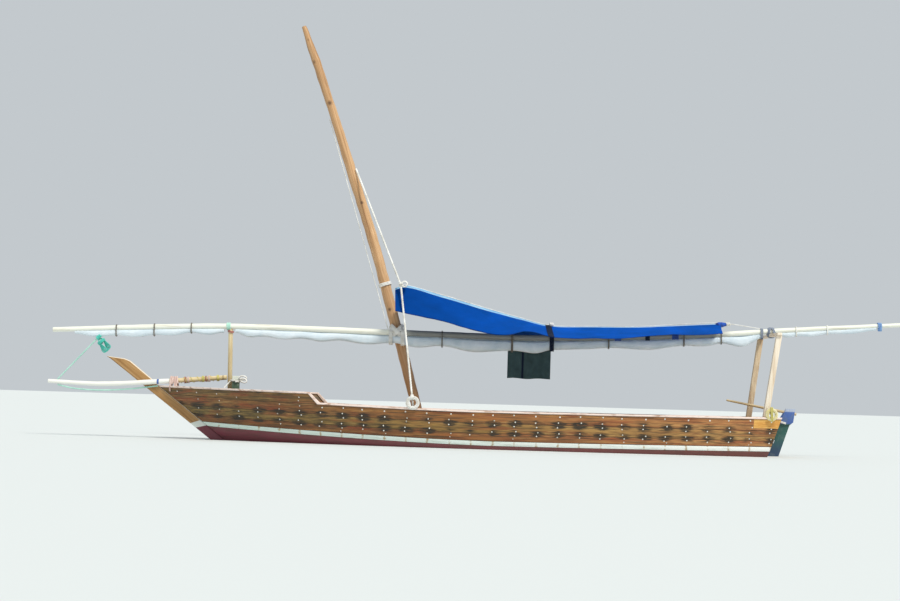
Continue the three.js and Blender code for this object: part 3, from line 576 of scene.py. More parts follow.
# %% Strakes
STRAKES = [  # node, finish, slot, width of the groove's side, number of the lower one of its NAILED seams
    ("bottom_planking", bottom_paint, "bottom_paint", 0.003, None),
    ("boot_stripe", stripe_paint, "stripe_paint", 0.003, None),
    ("topside_strake_1", hull_wood, "hull_wood", 0.005, 0),
    ("topside_strake_2", hull_wood, "hull_wood", 0.005, 1),
    ("topside_strake_3", hull_wood, "hull_wood", 0.005, 2),
    ("bow_bulwark", hull_wood, "bow_wood", 0.005, 3),
]
NAILED = ("first", "second", "third", "sheer", "bow")
REPAIR = {"fore": 4.95, "bottom": 0.468}
CUTS = (((REPAIR["fore"], 0, 0), (1, 0, 0)), ((0, 0, REPAIR["bottom"]), (0, 0, 1)))
planking = {}
for side, _ in SIDES:
    outside = bmesh.new()
    for strake, finish, slot, width, number in STRAKES:
        node = f"{strake}_{side}"
        bm = welded(node)
        if number is not None:
            layer = bm.loops.layers.uv.new("plank")
            for face in bm.faces:
                for loop in face.loops:
                    x, _, z = loop.vert.co
                    low, high = (seam_height(NAILED[number + i], x) for i in (0, 1))
                    loop[layer].uv = (x, number + (z - low) / (high - low))
        seams = eased(bm, width)
        for face in seams:
            face.material_index = 1
        if node == "topside_strake_3_port":
            for spot, way in CUTS:
                aft = [f for f in bm.faces if f.calc_center_median().x > REPAIR["fore"] - 0.4]
                near = {g for f in aft for g in (f, *f.edges, *f.verts)}
                bmesh.ops.bisect_plane(bm, geom=list(near), plane_co=spot, plane_no=way)
            for face in bm.faces:
                middle = face.calc_center_median()
                if middle.x > REPAIR["fore"] and middle.z > REPAIR["bottom"] and face.material_index == 0:
                    face.material_index = 2
        outside.from_mesh(nodes[node].data)
        put(f"{strake}_planks_{side}", bm, finish, [node], more=(caulk, new_timber))
    planking[side] = BVHTree.FromBMesh(outside)
    outside.free()

# %% [markdown]
# ## The floor at the waterline
# The boat is shown as it floats, so the pale floor lies at Z = 0 and has a hole the shape of the hull
# there. Its rim runs inside the planks, where neither side of the planking shows it.

# %% Floor round the hull
FLOOR_REACH = 900  # far enough to meet the horizon
RIM = {"fore": -3.645, "aft": 5.205, "count": 45, "inset": 0.015}
rim = []
for side, sign in SIDES:
    for i in range(RIM["count"]):
        x = RIM["fore"] + (RIM["aft"] - RIM["fore"]) * i / (RIM["count"] - 1)
        hit, _, _, _ = planking[side].ray_cast(Vector((x, sign * 3, 0.0005)), Vector((0, -sign, 0)))
        rim.append(Vector((x, hit.y - sign * RIM["inset"], 0)))
rim = rim[:RIM["count"]] + rim[:RIM["count"] - 1:-1]
bm = bmesh.new()
corners = [bm.verts.new(p) for p in rim]
edges = [bm.edges.new(pair) for pair in zip(corners, [*corners[1:], corners[0]])]
outer = bmesh.ops.extrude_edge_only(bm, edges=edges)["geom"]
for vertex in (g for g in outer if isinstance(g, bmesh.types.BMVert)):
    vertex.co = (vertex.co - Vector((0.7, 0, 0))).normalized() * FLOOR_REACH
bmesh.ops.recalc_face_normals(bm, faces=bm.faces)
floor_data = bpy.data.meshes.new("floor")
bm.to_mesh(floor_data)
bm.free()
floor = bpy.data.objects.new("floor", floor_data)
scene.collection.objects.link(floor)
floor_paint, tree, shader = new_material("pale floor", 0.9)
shader.inputs["Base Color"].default_value = pigment("#dce1e0")
floor_data.materials.append(floor_paint)
print("the hole in the floor has", len(rim), "corners")

# %% [markdown]
# The rails, the stem, the keel and the sternpost are single heavy timbers. Use has worn their edges round,
# the stem's the most.

# %% Cap rails, stem, keel, sternpost and transom cap
for side, _ in SIDES:
    worn_timber(f"cap_rail_{side}", cap_paint, 0.008, flat=False, name=f"cap_rail_timber_{side}")
worn_timber("stem", stem_wood, 0.014)
worn_timber("keel", bottom_paint, 0.008)
worn_timber("sternpost", rudder_paint, 0.008)
worn_timber("transom_cap", cap_paint, 0.008)

# %% [markdown]
# ## Nails
# Boat nails are driven through the planks into each rib, a pair across each seam and one under the cap,
# and clenched over round washers. Each head is a low cone set on the plank by a ray cast onto the hull.

# %% Nail heads
rng = random.Random(7)
NAIL_ROWS = [  # seam, distance above it, first and last x, share of the nails that show, radius of the heads
    ("first", 0.036, -2.0, 5.3, 0.3, 0.010), ("second", -0.034, -2.9, 5.3, 0.9, 0.013),
    ("second", 0.034, -4.1, 5.3, 0.85, 0.013), ("third", -0.035, -4.3, 5.35, 0.85, 0.013),
    ("third", 0.035, -3.2, 5.35, 0.9, 0.013), ("sheer", -0.040, -2.1, 5.4, 0.95, 0.015),
    ("sheer", -0.036, -4.4, -2.3, 0.4, 0.011), ("sheer", 0.034, -4.4, -2.3, 0.35, 0.011),
    ("bow", -0.060, -4.5, -2.3, 0.35, 0.012),
]
nail_columns = [NAILS_FIRST + NAILS_SPACING * i for i in range(-1, 28)]
for side, sign in SIDES:
    bm = bmesh.new()
    for x in nail_columns:
        for seam, above, first, last, share, radius in NAIL_ROWS:
            if not first < x < last or rng.random() > share:
                continue
            place = x + rng.uniform(-0.026, 0.026)
            level = seam_height(seam, place) + above + rng.uniform(-0.011, 0.011)
            start = Vector((place, sign * 3, level))
            hit, normal, _, _ = planking[side].ray_cast(start, Vector((0, -sign, 0)))
            if hit is None:
                continue
            turn = normal.to_track_quat("Z", "Y").to_matrix().to_4x4()
            bmesh.ops.create_cone(
                bm, cap_ends=True, segments=8, radius1=radius, radius2=radius * 0.6, depth=0.006,
                matrix=Matrix.Translation(hit + normal * 0.0015) @ turn,
            )
    put(f"nail_heads_{side}", bm, nail_iron, sharp=20)


# %% [markdown]
# ## Decks and floor
# A deck is boards laid side by side. The CAD node gives the outline, notched round the ribs. Planes cut
# it into boards, each is closed again where it was cut, and its edges are eased.

# %% Boards
def boards_from(node, axis, width, gap, finish, name):
    """Cuts a flat CAD node into boards that lie side by side along one axis."""
    whole = welded(node, flat=True)
    low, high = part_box(node)
    count = max(1, round((high[axis] - low[axis]) / width))
    pitch = (high[axis] - low[axis]) / count
    direction = Vector([1.0 if i == axis else 0.0 for i in range(3)])
    laid = bmesh.new()
    for i in range(count):
        board = whole.copy()
        first_edge = low[axis] + i * pitch + gap / 2
        last_edge = low[axis] + (i + 1) * pitch - gap / 2
        for edge_at, away in ((first_edge, -1), (last_edge, 1)):
            bmesh.ops.bisect_plane(
                board, geom=[*board.verts, *board.edges, *board.faces], plane_co=direction * edge_at,
                plane_no=direction * away, clear_outer=True,
            )
            rims = [e for e in board.edges if e.is_boundary]
            bmesh.ops.holes_fill(board, edges=rims, sides=0)
        if board.faces:
            bmesh.ops.recalc_face_normals(board, faces=board.faces)
            eased(board, 0.002, 1)
            store = bpy.data.meshes.new("board")
            board.to_mesh(store)
            laid.from_mesh(store)
            bpy.data.meshes.remove(store)
        board.free()
    whole.free()
    return put(name, laid, finish, [node])


boards_from("foredeck", 1, 0.16, 0.004, inner_wood, "foredeck_boards")
boards_from("aft_deck", 1, 0.16, 0.004, inner_wood, "aft_deck_boards")
boards_from("floor_boards", 1, 0.2, 0.008, inner_wood, "floor_planks")
boards_from("transom", 2, 0.19, 0.003, hull_wood, "transom_planks")
for node, finish in [
    ("thwart_1", seat_wood), ("thwart_2", seat_wood), ("mast_beam", seat_wood),
    ("side_bench_port", inner_wood), ("side_bench_starboard", inner_wood), ("mast_step", inner_wood),
]:
    worn_timber(node, finish, 0.005, 2)


# %% [markdown]
# ## Poles and ropes
# Both are a circle pushed along a path: the circle is extruded from one station to the next. A rope's
# circle has three lobes for its strands and turns as it goes, once every three and a half diameters.

# %% Paths and tubes
def curved(points, step):
    """Evenly spaced points on the centripetal curve through the given ones, as the CAD draws it."""
    knots = [Vector(p) for p in points]
    knots = [2 * knots[0] - knots[1], *knots, 2 * knots[-1] - knots[-2]]
    fine = []
    for a, b, c, d in zip(knots, knots[1:], knots[2:], knots[3:]):
        before, here, after = ((q - p).length ** 0.5 for p, q in ((a, b), (b, c), (c, d)))
        start = ((b - a) / before - (c - a) / (before + here) + (c - b) / here) * here
        end = ((c - b) / here - (d - b) / (here + after) + (d - c) / after) * here
        for k in range(24):
            t = k / 24
            square, cube = 3 * (c - b) - 2 * start - end, 2 * (b - c) + start + end
            fine.append(b + start * t + square * t * t + cube * t ** 3)
    fine.append(knots[-2])
    total = length_of(fine)
    count = max(1, round(total / step))
    spaced = [fine[0]]
    walked = 0.0
    for p, q in zip(fine, fine[1:]):
        length = (q - p).length
        while len(spaced) < count and walked + length >= total * len(spaced) / count:
            spaced.append(p.lerp(q, (total * len(spaced) / count - walked) / length))
        walked += length
    return [*spaced, fine[-1]]


def length_of(path):
    """Length of a path along its points."""
    return sum((q - p).length for p, q in zip(path, path[1:]))


def stations(path, radius_at, turn_every=0.0):
    """One matrix for each point of a path, which carries a flat unit circle there."""
    last = len(path) - 1
    ways = [(path[min(i + 1, last)] - path[max(i - 1, 0)]).normalized() for i in range(last + 1)]
    across = ways[0].orthogonal().normalized()
    made = []
    walked = 0.0
    for i, (centre, way) in enumerate(zip(path, ways)):
        walked += (centre - path[max(i - 1, 0)]).length
        across = (across - way * across.dot(way)).normalized()
        turn = Matrix((across, way.cross(across), way)).transposed().to_4x4()
        spin = Matrix.Rotation(2 * math.pi * walked / turn_every if turn_every else 0, 4, "Z")
        radius = radius_at(i / last)
        made.append(Matrix.Translation(centre) @ turn @ spin @ Matrix.Diagonal((radius, radius, 1, 1)))
    return made


def tube(bm, path, radius, sides=12, lobes=0, turn_every=0.0):
    """Extrudes a circle along a path and closes both ends. radius is a number, or a function of a share."""
    radius_at = radius if callable(radius) else lambda share: radius
    steps = stations(path, radius_at, turn_every)
    ring = bmesh.ops.create_circle(bm, segments=sides, radius=1)["verts"]
    for vertex in ring:
        if lobes:
            vertex.co *= 0.9 + 0.1 * math.cos(lobes * math.atan2(vertex.co.y, vertex.co.x))
    first = list({edge for vertex in ring for edge in vertex.link_edges})
    bmesh.ops.transform(bm, matrix=steps[0], verts=ring)
    edges = first
    for before, after in zip(steps, steps[1:]):
        grown = bmesh.ops.extrude_edge_only(bm, edges=edges)["geom"]
        ring = [g for g in grown if isinstance(g, bmesh.types.BMVert)]
        edges = [g for g in grown if isinstance(g, bmesh.types.BMEdge) and g.is_boundary]
        bmesh.ops.transform(bm, matrix=after @ before.inverted(), verts=ring)
    for rim in (first, edges):
        bmesh.ops.contextual_create(bm, geom=rim)


def rope(name, path, radius, finish, stands_for=()):
    """A three-strand rope as a piece of its own: returns the piece and the points that it follows."""
    bm = bmesh.new()
    lay = 7 * radius
    fine = curved(path, lay / 8)
    tube(bm, fine, radius, 12, 3, lay)
    bmesh.ops.recalc_face_normals(bm, faces=bm.faces)
    return put(name, bm, finish, stands_for, sharp=60), fine


# %% [markdown]
# Lashings, seizings and knots are cord wound round something. A winding is a helix round an oval: its
# centre, the axis that it advances along, one side of the oval, and the two half-widths that it clears.

# %% Windings
def winding(centre, axis, up, across_half, up_half, cord, turns, pitch=None):
    """Points of a cord wound round an oval section, with its turns side by side."""
    centre, axis, up = Vector(centre), Vector(axis).normalized(), Vector(up)
    up = (up - axis * up.dot(axis)).normalized()
    across = up.cross(axis)
    pitch = pitch or 2.04 * cord
    path = []
    for i in range(round(turns * 20) + 1):
        turn = i / 20
        angle = 2 * math.pi * turn
        path.append(
            centre + axis * pitch * (turn - turns / 2)
            + across * (across_half + cord) * math.cos(angle) + up * (up_half + cord) * math.sin(angle)
        )
    return path


def cords(name, finish, paths, body="hull"):
    """One piece of several thin cords. Each comes as its path and its radius."""
    bm = bmesh.new()
    for path, radius in paths:
        tube(bm, path, radius, 8)
    bmesh.ops.recalc_face_normals(bm, faces=bm.faces)
    return put(name, bm, finish, body=body, sharp=60)


def lashed(name, finish, rows, body="hull"):
    """One piece of several windings. Each row holds what a winding is given, with its cord sixth."""
    return cords(name, finish, [(winding(*row), row[5]) for row in rows], body)


# %% [markdown]
# ## Mast, yard and bowsprit
# The tables give X, Z and radius along each pole, as the CAD has them. A trunk is never quite round, so
# its skin moves in and out by a few millimetres.

# %% Spars
MAST = [  # x, z and radius
    (-0.199, -0.418, 0.080), (-0.545, 0.780, 0.091), (-0.865, 1.890, 0.097), (-1.265, 3.240, 0.095),
    (-1.717, 4.571, 0.090), (-2.085, 5.620, 0.078), (-2.447, 6.600, 0.072), (-2.592, 6.973, 0.044),
]
YARD = [
    (-6.570, 1.746, 0.042), (-5.100, 1.831, 0.046), (-3.660, 1.886, 0.050), (-0.810, 1.862, 0.054),
    (1.340, 1.843, 0.054), (3.000, 1.901, 0.052), (4.500, 1.991, 0.050), (5.480, 2.081, 0.046),
    (8.000, 2.276, 0.034),
]
BOWSPRIT = [(-6.630, 0.895, 0.036), (-5.770, 0.873, 0.042), (-4.840, 0.935, 0.043), (-3.657, 1.038, 0.041)]
YARD_Y = -0.1513
BOWSPRIT_Y = -0.0933


def spar_line(rows):
    """Points (x, radius, z) along a spar, curved as the CAD curves them."""
    return curved([(x, radius, z) for x, z, radius in rows], 0.05)


def spar(name, line, y_at, finish, node, lumps=0.003):
    """A round pole with an uneven skin, standing for its CAD node."""
    path = [Vector((p.x, y_at(p.x), p.z)) for p in line]
    last = len(line) - 1
    bm = bmesh.new()
    tube(bm, path, lambda share: line[round(share * last)].y - lumps, 20)
    bmesh.ops.recalc_face_normals(bm, faces=bm.faces)
    for vertex in bm.verts:
        centre = min(path, key=lambda p: (p - vertex.co).length_squared)
        out = (vertex.co - centre).normalized()
        vertex.co += out * lumps * noise.noise(vertex.co * 6) * 1.2
    eased(bm, 0.008, 3, 60)
    return put(name, bm, finish, [node], sharp=60)


def bowsprit_y(x):
    """The bowsprit lies straight ahead, and aft of its third station it bends out to the bow post."""
    bend, heel = BOWSPRIT[2][0], BOWSPRIT[3][0]
    return BOWSPRIT_Y + (YARD_Y - BOWSPRIT_Y) * max(0, (x - bend) / (heel - bend))


mast_line = spar_line(MAST)
yard_line = spar_line(YARD)
bowsprit_line = spar_line(BOWSPRIT)
spar("mast_trunk", mast_line, lambda x: 0, mast_wood, "mast", 0.007)
spar("yard_pole", yard_line, lambda x: YARD_Y, pole_paint, "yard")
spar("bowsprit_pole", bowsprit_line, bowsprit_y, bamboo, "bowsprit")


def at_x(line, x):
    """Radius and height of a spar at one x."""
    near = min(line, key=lambda p: abs(p.x - x))
    return near.y, near.z


# %% [markdown]
# The posts and the rudder are cut square, so their flats stay flat and their corners are worn. The bow
# post and the tiller are round poles, which only lose the sharp rims at their ends.

# %% Posts and steering
worn_timber("stern_post_port", post_wood, 0.008)
worn_timber("stern_post_starboard", tan_post, 0.008)
worn_timber("stern_cross_beam", post_wood, 0.008)
worn_timber("bollard", bollard_paint, 0.008)
worn_timber("bow_post", bow_post_wood, 0.004, 2, 50, flat=False)
worn_timber("tiller", tiller_wood, 0.004, 2, 50, flat=False, body="rudder")
worn_timber("rudder", rudder_paint, 0.004, 2, 60, body="rudder")


# %% [markdown]
# ## The furled sail
# The sail is rolled up along the yard and tied to it here and there, and the roll hangs in bulges between
# its ties. Here it is a strip of cloth rolled two and a quarter times: a flat grid whose width is wound
# into a spiral, flattened, pressed up round the yard, and gathered where a tie pulls it in.

# %% Sail
SAIL_ROLLS = {  # x, depth and half-width of each roll's bulges and of the places where it is tied
    "fore": [
        (-6.200, 0.040, 0.026), (-5.850, 0.100, 0.034), (-5.510, 0.090, 0.032), (-5.200, 0.122, 0.038),
        (-4.890, 0.100, 0.034), (-4.580, 0.112, 0.040), (-4.280, 0.062, 0.030), (-3.990, 0.100, 0.040),
        (-3.730, 0.060, 0.030),
    ],
    "middle": [
        (-3.540, 0.060, 0.030), (-3.300, 0.130, 0.042), (-3.050, 0.110, 0.040), (-2.740, 0.150, 0.044),
        (-2.440, 0.120, 0.040), (-2.120, 0.160, 0.046), (-1.810, 0.125, 0.042), (-1.350, 0.170, 0.046),
        (-0.900, 0.130, 0.040), (-0.500, 0.190, 0.052), (-0.116, 0.150, 0.048), (0.480, 0.225, 0.060),
        (1.080, 0.180, 0.052), (1.420, 0.215, 0.058), (1.730, 0.150, 0.050), (2.190, 0.145, 0.052),
        (2.650, 0.125, 0.048), (3.330, 0.172, 0.056), (3.900, 0.115, 0.046), (4.220, 0.142, 0.050),
        (4.510, 0.105, 0.044), (4.860, 0.190, 0.054), (5.200, 0.060, 0.034),
    ],
    "aft": [
        (5.520, 0.055, 0.030), (5.640, 0.085, 0.034), (5.760, 0.060, 0.030), (6.010, 0.085, 0.034),
        (6.270, 0.055, 0.028), (6.680, 0.070, 0.030), (7.080, 0.035, 0.022),
    ],
}
SAIL_Y = YARD_Y - 0.017
ROLLS = 2.25
HUG = 0.022  # how far the roll's top reaches up round the yard


def area_of(bm):
    """Area of a cloth in square metres, which its cut size comes from."""
    return sum(face.calc_area() for face in bm.faces)


def between(rows, x):
    """Eased values between two rows of a table."""
    for low, high in zip(rows, rows[1:]):
        if x <= high[0]:
            break
    share = min(max((x - low[0]) / (high[0] - low[0]), 0), 1)
    eased_share = (1 - math.cos(math.pi * share)) / 2
    return [a + (b - a) * eased_share for a, b in zip(low[1:], high[1:])]


def cloth_grid(columns, rows, width, length):
    """A flat grid from (0, 0) to (1, 1), with a UV map in metres."""
    bm = bmesh.new()
    layer = bm.loops.layers.uv.new("cloth")
    bmesh.ops.create_grid(bm, x_segments=columns, y_segments=rows, size=0.5)
    bmesh.ops.translate(bm, verts=bm.verts, vec=(0.5, 0.5, 0))
    for face in bm.faces:
        for loop in face.loops:
            loop[layer].uv = (loop.vert.co.x * length, loop.vert.co.y * width)
    return bm


def thickened(piece, thickness):
    """Gives a sheet its thickness, half of it on each side."""
    shell = piece.modifiers.new("thickness", "SOLIDIFY")
    shell.thickness = thickness
    shell.offset = 0


for part, rows in SAIL_ROLLS.items():
    start, end = rows[0][0], rows[-1][0]
    bm = cloth_grid(round((end - start) / 0.03), 64, 1.0, end - start)
    deepest = max(row[1] for row in rows)
    for vertex in bm.verts:
        along, around = vertex.co.x, vertex.co.y
        x = start + (end - start) * along
        depth, half = between(rows, x)
        radius, height = at_x(yard_line, x)
        angle = math.pi * (0.5 + 2 * ROLLS * around)
        sideways, upwards = math.cos(angle), math.sin(angle)
        inward = 1 - 0.62 * around
        fold = 1 + 0.10 * noise.noise(Vector((x * 2.2, sideways * 1.3, upwards * 1.3 + around * 5)))
        gather = 0.05 * (1 - depth / deepest) * math.sin(9 * angle + 4 * math.sin(7 * x))
        drop = (depth + HUG) / 2
        swing = 0.012 * noise.noise(Vector((x * 1.1, 3.1, around)))
        y = SAIL_Y - half * inward * (fold + gather) * sideways + swing * (1 - upwards) / 2
        fullness = min(fold + gather, 1.0 if upwards > 0 else 1.2)
        z = height - radius + HUG - drop + drop * upwards * inward * fullness
        out = Vector((0, y - YARD_Y, z - height))
        clear = radius + 0.002 + 0.006 * around
        if out.length < clear:
            out = out.normalized() * clear
        vertex.co = Vector((x, YARD_Y, height)) + out
    width = area_of(bm) / (end - start)
    piece = put(f"furled_sail_roll_{part}", bm, sail_cloth, [f"furled_sail_{part}"], sharp=80)
    thickened(piece, 0.002)
    print(piece.name, "is cut", round(width, 2), "by", round(end - start, 2), "m")


# %% [markdown]
# Each tie goes over the yard and under the roll. Seen along the yard it is a half circle above, a
# narrower half circle below, and two straight runs between them.

# %% Sail ties
def tie_round_sail(x, cord, turns):
    """Points of a tie wound round yard and sail together."""
    rows = next(rows for rows in SAIL_ROLLS.values() if x <= rows[-1][0] + 0.1)
    depth, half = between(rows, x)
    radius, height = at_x(yard_line, x)
    low = height - radius - depth + half
    path = []
    for i in range(round(turns * 24) + 1):
        angle = 2 * math.pi * i / 24
        upper = math.sin(angle) > -0.001
        y, z, reach = (YARD_Y, height, radius) if upper else (SAIL_Y, low, half)
        reach += cord + 0.003
        advance = 2.04 * cord * (i / 24 - turns / 2)
        path.append(Vector((x + advance, y + reach * math.cos(angle), z + reach * math.sin(angle))))
    return path


def tied(name, finish, rows):
    """One piece of several ties round yard and sail: x, radius of the cord and turns of each."""
    return cords(name, finish, [(tie_round_sail(*row), row[1]) for row in rows])


tied("sail_ties", dark_cord, [
    (-5.514, 0.005, 2), (-4.885, 0.005, 2), (-4.272, 0.005, 2), (-0.112, 0.005, 2), (1.048, 0.006, 3),
    (2.648, 0.006, 2), (3.893, 0.006, 2), (4.513, 0.005, 2),
])
tied("aft_sail_ties", white_rope, [(5.757, 0.005, 2), (6.271, 0.005, 2)])
tied("sail_head_tie", sky_cord, [(7.14, 0.008, 4)])
tied("sail_end_tie", grey_cord, [(5.185, 0.007, 3)])
tied("strap_end_turns", strap_cloth, [(1.705, 0.009, 4)])


# %% [markdown]
# ## The awning
# One sheet of blue tarpaulin hangs over the yard and is pulled down at both edges. It sags between the
# ridge and the edges, its edges hang in shallow scallops, and creases slant down across it. A pale blue
# band along the ridge is a painted highlight, and the lower hems are a darker blue as painted shade.

# %% Awning
AWNING = [  # x, y and z of the ridge, the port edge and the starboard edge
    ((-0.905, -0.600, 2.580), (-0.885, -0.800, 2.217), (-0.820, 0.060, 2.262)),
    ((-0.735, -0.590, 2.628), (-0.720, -0.800, 2.186), (-0.720, 0.090, 2.231)),
    ((-0.165, -0.480, 2.498), (-0.200, -0.860, 2.074), (-0.200, 0.200, 2.122)),
    ((0.640, -0.330, 2.291), (0.640, -0.930, 1.888), (0.640, 0.400, 1.943)),
    ((1.160, -0.240, 2.166), (1.160, -0.950, 1.859), (1.160, 0.520, 1.917)),
    ((1.680, YARD_Y, 2.056), (1.680, -0.950, 1.853), (1.680, 0.640, 1.915)),
    ((2.500, YARD_Y, 2.064), (2.500, -0.950, 1.850), (2.500, 0.640, 1.912)),
    ((3.120, YARD_Y, 2.078), (3.120, -0.950, 1.908), (3.120, 0.640, 1.973)),
    ((4.500, YARD_Y, 2.172), (4.430, -0.950, 1.992), (4.500, 0.640, 2.062)),
]
ridge, port_edge, starboard_edge = (curved([row[i] for row in AWNING], 0.001) for i in range(3))


def hump(x, start, end):
    """0 outside two places, rising smoothly to 1 between them."""
    return math.sin(math.pi * (x - start) / (end - start)) ** 2 if start < x < end else 0.0


def on_awning(along, side):
    """The point of the sheet at a share of its length, and from -1 at the port edge to 1 at starboard."""
    edge = port_edge if side < 0 else starboard_edge
    out = abs(side)
    place = ridge[round(along * (len(ridge) - 1))].lerp(edge[round(along * (len(edge) - 1))], out)
    slack = 0.07 * out * (1 - out)
    scallop = 0.020 * out ** 4 * abs(math.sin(math.pi * place.x / 1.2))
    crease = 0.008 * math.sin(26 * (place.x + 0.55 * out) + 3 * math.sin(4 * place.x)) * out * (1.2 - out)
    ripple = 0.010 * noise.noise(Vector((place.x * 2.5, side * 1.7, 0.3)))
    lifted = 0.075 * hump(place.x, 0.9, 1.72) if side < 0 else -0.05 * hump(place.x, 0.7, 1.9)
    place.z += lifted * out ** 3 + ripple * (0.2 + out * 0.6) - slack - scallop - crease * 0.5 - 0.004
    place.y += crease * 0.4
    return place


bm = cloth_grid(170, 60, 1.9, 5.4)
# Faces at the edges take the hems' painted shade, and faces along the ridge its painted highlight.
for face in bm.faces:
    middle = face.calc_center_median()
    side = 2 * middle.y - 1
    if side < -0.965 or side > 0.965:
        face.material_index = 2
    elif -0.068 < side < 0.034 and (middle.x < 0.49 or -0.034 < side < 0):
        face.material_index = 1
for vertex in bm.verts:
    vertex.co = on_awning(vertex.co.x, 2 * vertex.co.y - 1)
length = length_of(ridge)
width = area_of(bm) / length
awning = put(
    "awning_sheet", bm, awning_cloth, ["awning"], sharp=80, more=(ridge_highlight_cloth, awning_hem),
)
thickened(awning, 0.003)
print("the awning is cut", round(width, 2), "by", round(length, 2), "m")

# %% [markdown]
# A strap of dark webbing crosses the awning where it comes down to the yard, and blue and navy cords tie
# the sheet to the yard behind it. At the after corner the cloth is gathered into a knot.

# %% Awning strap, ties and knots
STRAP = {"from fore end": 2.56, "width": 0.1, "awning": 5.41}
bm = cloth_grid(4, 24, 0.5, STRAP["width"])
for vertex in bm.verts:
    along = (STRAP["from fore end"] + STRAP["width"] * vertex.co.x) / STRAP["awning"]
    side = -0.99 + 1.03 * vertex.co.y
    vertex.co = on_awning(along, side) + Vector((0, -0.003, 0.006))
bmesh.ops.recalc_face_normals(bm, faces=bm.faces)
thickened(put("awning_strap", bm, strap_cloth, sharp=80), 0.003)


def round_yard(x, cord, turns):
    """A row for a winding round the bare yard."""
    radius, height = at_x(yard_line, x)
    return (x, YARD_Y, height), (1, 0, 0), (0, 0, 1), radius, radius, cord, turns


lashed("awning_ties", blue_cord, [round_yard(2.80, 0.009, 6), round_yard(3.75, 0.009, 6)])
lashed("navy_awning_tie", strap_cloth, [round_yard(3.29, 0.009, 4)])
lashed("awning_knots", white_rope, [
    ((1.700, -0.160, 2.072), (1, 0, 0), (0, 0, 1), 0.016, 0.016, 0.010, 3),
    ((4.628, YARD_Y, 2.166), (1, 0, 0), (0, 0, 1), 0.010, 0.010, 0.011, 3),
])
gather = [(4.44, -0.20, 2.135), (4.50, -0.17, 2.150), (4.56, YARD_Y, 2.160), (4.61, YARD_Y, 2.166)]
bm = bmesh.new()
tube(bm, curved(gather, 0.01), lambda share: 0.052 - 0.034 * share ** 2, 20)
bmesh.ops.recalc_face_normals(bm, faces=bm.faces)
for vertex in bm.verts:
    vertex.co += 0.008 * noise.noise_vector(vertex.co * 30)
put("awning_corner_gather", bm, folded_tarpaulin, sharp=80)

# %% [markdown]
# ## The side curtain
# A dark green cloth hangs from the yard's inner side, in folds that deepen downwards. A darker band is
# sewn down it where two widths of cloth meet.

# %% Side curtain
CURTAIN = {"fore": 0.985, "aft": 1.700, "bottom": 1.168, "top": 1.840, "y": -0.088, "seam": 0.33}


def on_curtain(along, down):
    """A point of the hanging curtain, with folds that deepen downwards."""
    fold = 0.010 * math.sin(34 * along + 1.5 * math.sin(5 * along)) * (0.5 + 0.5 * down)
    hang = 0.015 * noise.noise(Vector((along * 3, 0.5, 0))) * down
    x = CURTAIN["fore"] + (CURTAIN["aft"] - CURTAIN["fore"]) * along
    z = CURTAIN["top"] + (CURTAIN["bottom"] - CURTAIN["top"]) * down + hang
    return Vector((x, CURTAIN["y"] + fold, z))


bm = cloth_grid(60, 30, 0.66, 0.9)
for vertex in bm.verts:
    vertex.co = on_curtain(vertex.co.x, 1 - vertex.co.y)
drop = CURTAIN["top"] - CURTAIN["bottom"]
width = area_of(bm) / drop
curtain = put("curtain_sheet", bm, curtain_cloth, ["side_curtain"], sharp=80)
thickened(curtain, 0.002)
print("the curtain is cut", round(width, 2), "by", round(drop, 2), "m")
bm = cloth_grid(3, 30, 0.66, 0.03)
for vertex in bm.verts:
    vertex.co = on_curtain(CURTAIN["seam"] + 0.045 * vertex.co.x, 1 - vertex.co.y) + Vector((0, -0.004, 0))
thickened(put("curtain_seam", bm, strap_cloth, sharp=80), 0.002)

# %% [markdown]
# ## Standing ropes
# The backstay comes down the mast's after side, bends at the awning's fore corner and runs to the port
# rail. A thin halyard runs down the fore side to the yard, a ridge rope lies on the awning's ridge, and
# two teal lines hold the bowsprit.

# %% Standing ropes
low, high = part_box("backstay")
stay_top = Vector((-1.635, -0.067, 4.585))
stay_bend = Vector((-0.810, -0.700, 2.625))
stay_foot = Vector((-0.536, low.y + 0.017, low.z + 0.006))
near_bend = [stay_bend.lerp(stay_top, 0.02), stay_bend, stay_bend.lerp(stay_foot, 0.02)]
rope("backstay_strands", [stay_top, *near_bend, stay_foot], 0.018, white_rope, ["backstay"])
low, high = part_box("halyard")
path = [(low.x + 0.008, 0, high.z - 0.003), (high.x - 0.008, YARD_Y, low.z + 0.003)]
rope("halyard_strands", path, 0.008, white_rope, ["halyard"])
OVER_RIDGE = Vector((0, 0, 0.0076))
ridge_points = [Vector(row[0]) + OVER_RIDGE for row in AWNING[1:]]
towards = (ridge_points[0] - stay_bend).normalized()
radius, height = at_x(yard_line, 5.18)
path = [stay_bend + towards * 0.025, *ridge_points, (5.18, YARD_Y, height + radius + 0.007)]
rope("ridge_rope_strands", path, 0.007, white_rope, ["ridge_rope"])
path = [(-6.470, -0.093, 0.9324), (-5.800, -0.1683, 1.652)]
rope("bow_line_upper_strands", path, 0.014, teal_rope, ["bow_line_upper"])
path = [
    (-6.470, -0.093, 0.840), (-6.200, -0.088, 0.786), (-5.790, -0.080, 0.768), (-5.350, -0.071, 0.794),
    (-4.810, -0.0623, 0.866),
]
rope("bow_line_lower_strands", path, 0.014, teal_rope, ["bow_line_lower"])


# %% [markdown]
# ## Coils and hanks
# What is left of a rope is coiled. Nine turns lie round a hollow bundle, each beside the last, and the
# bundle makes a ring. A hank has long loops with straight sides. Each is one rope from end to end, and a
# seizing holds its turns.

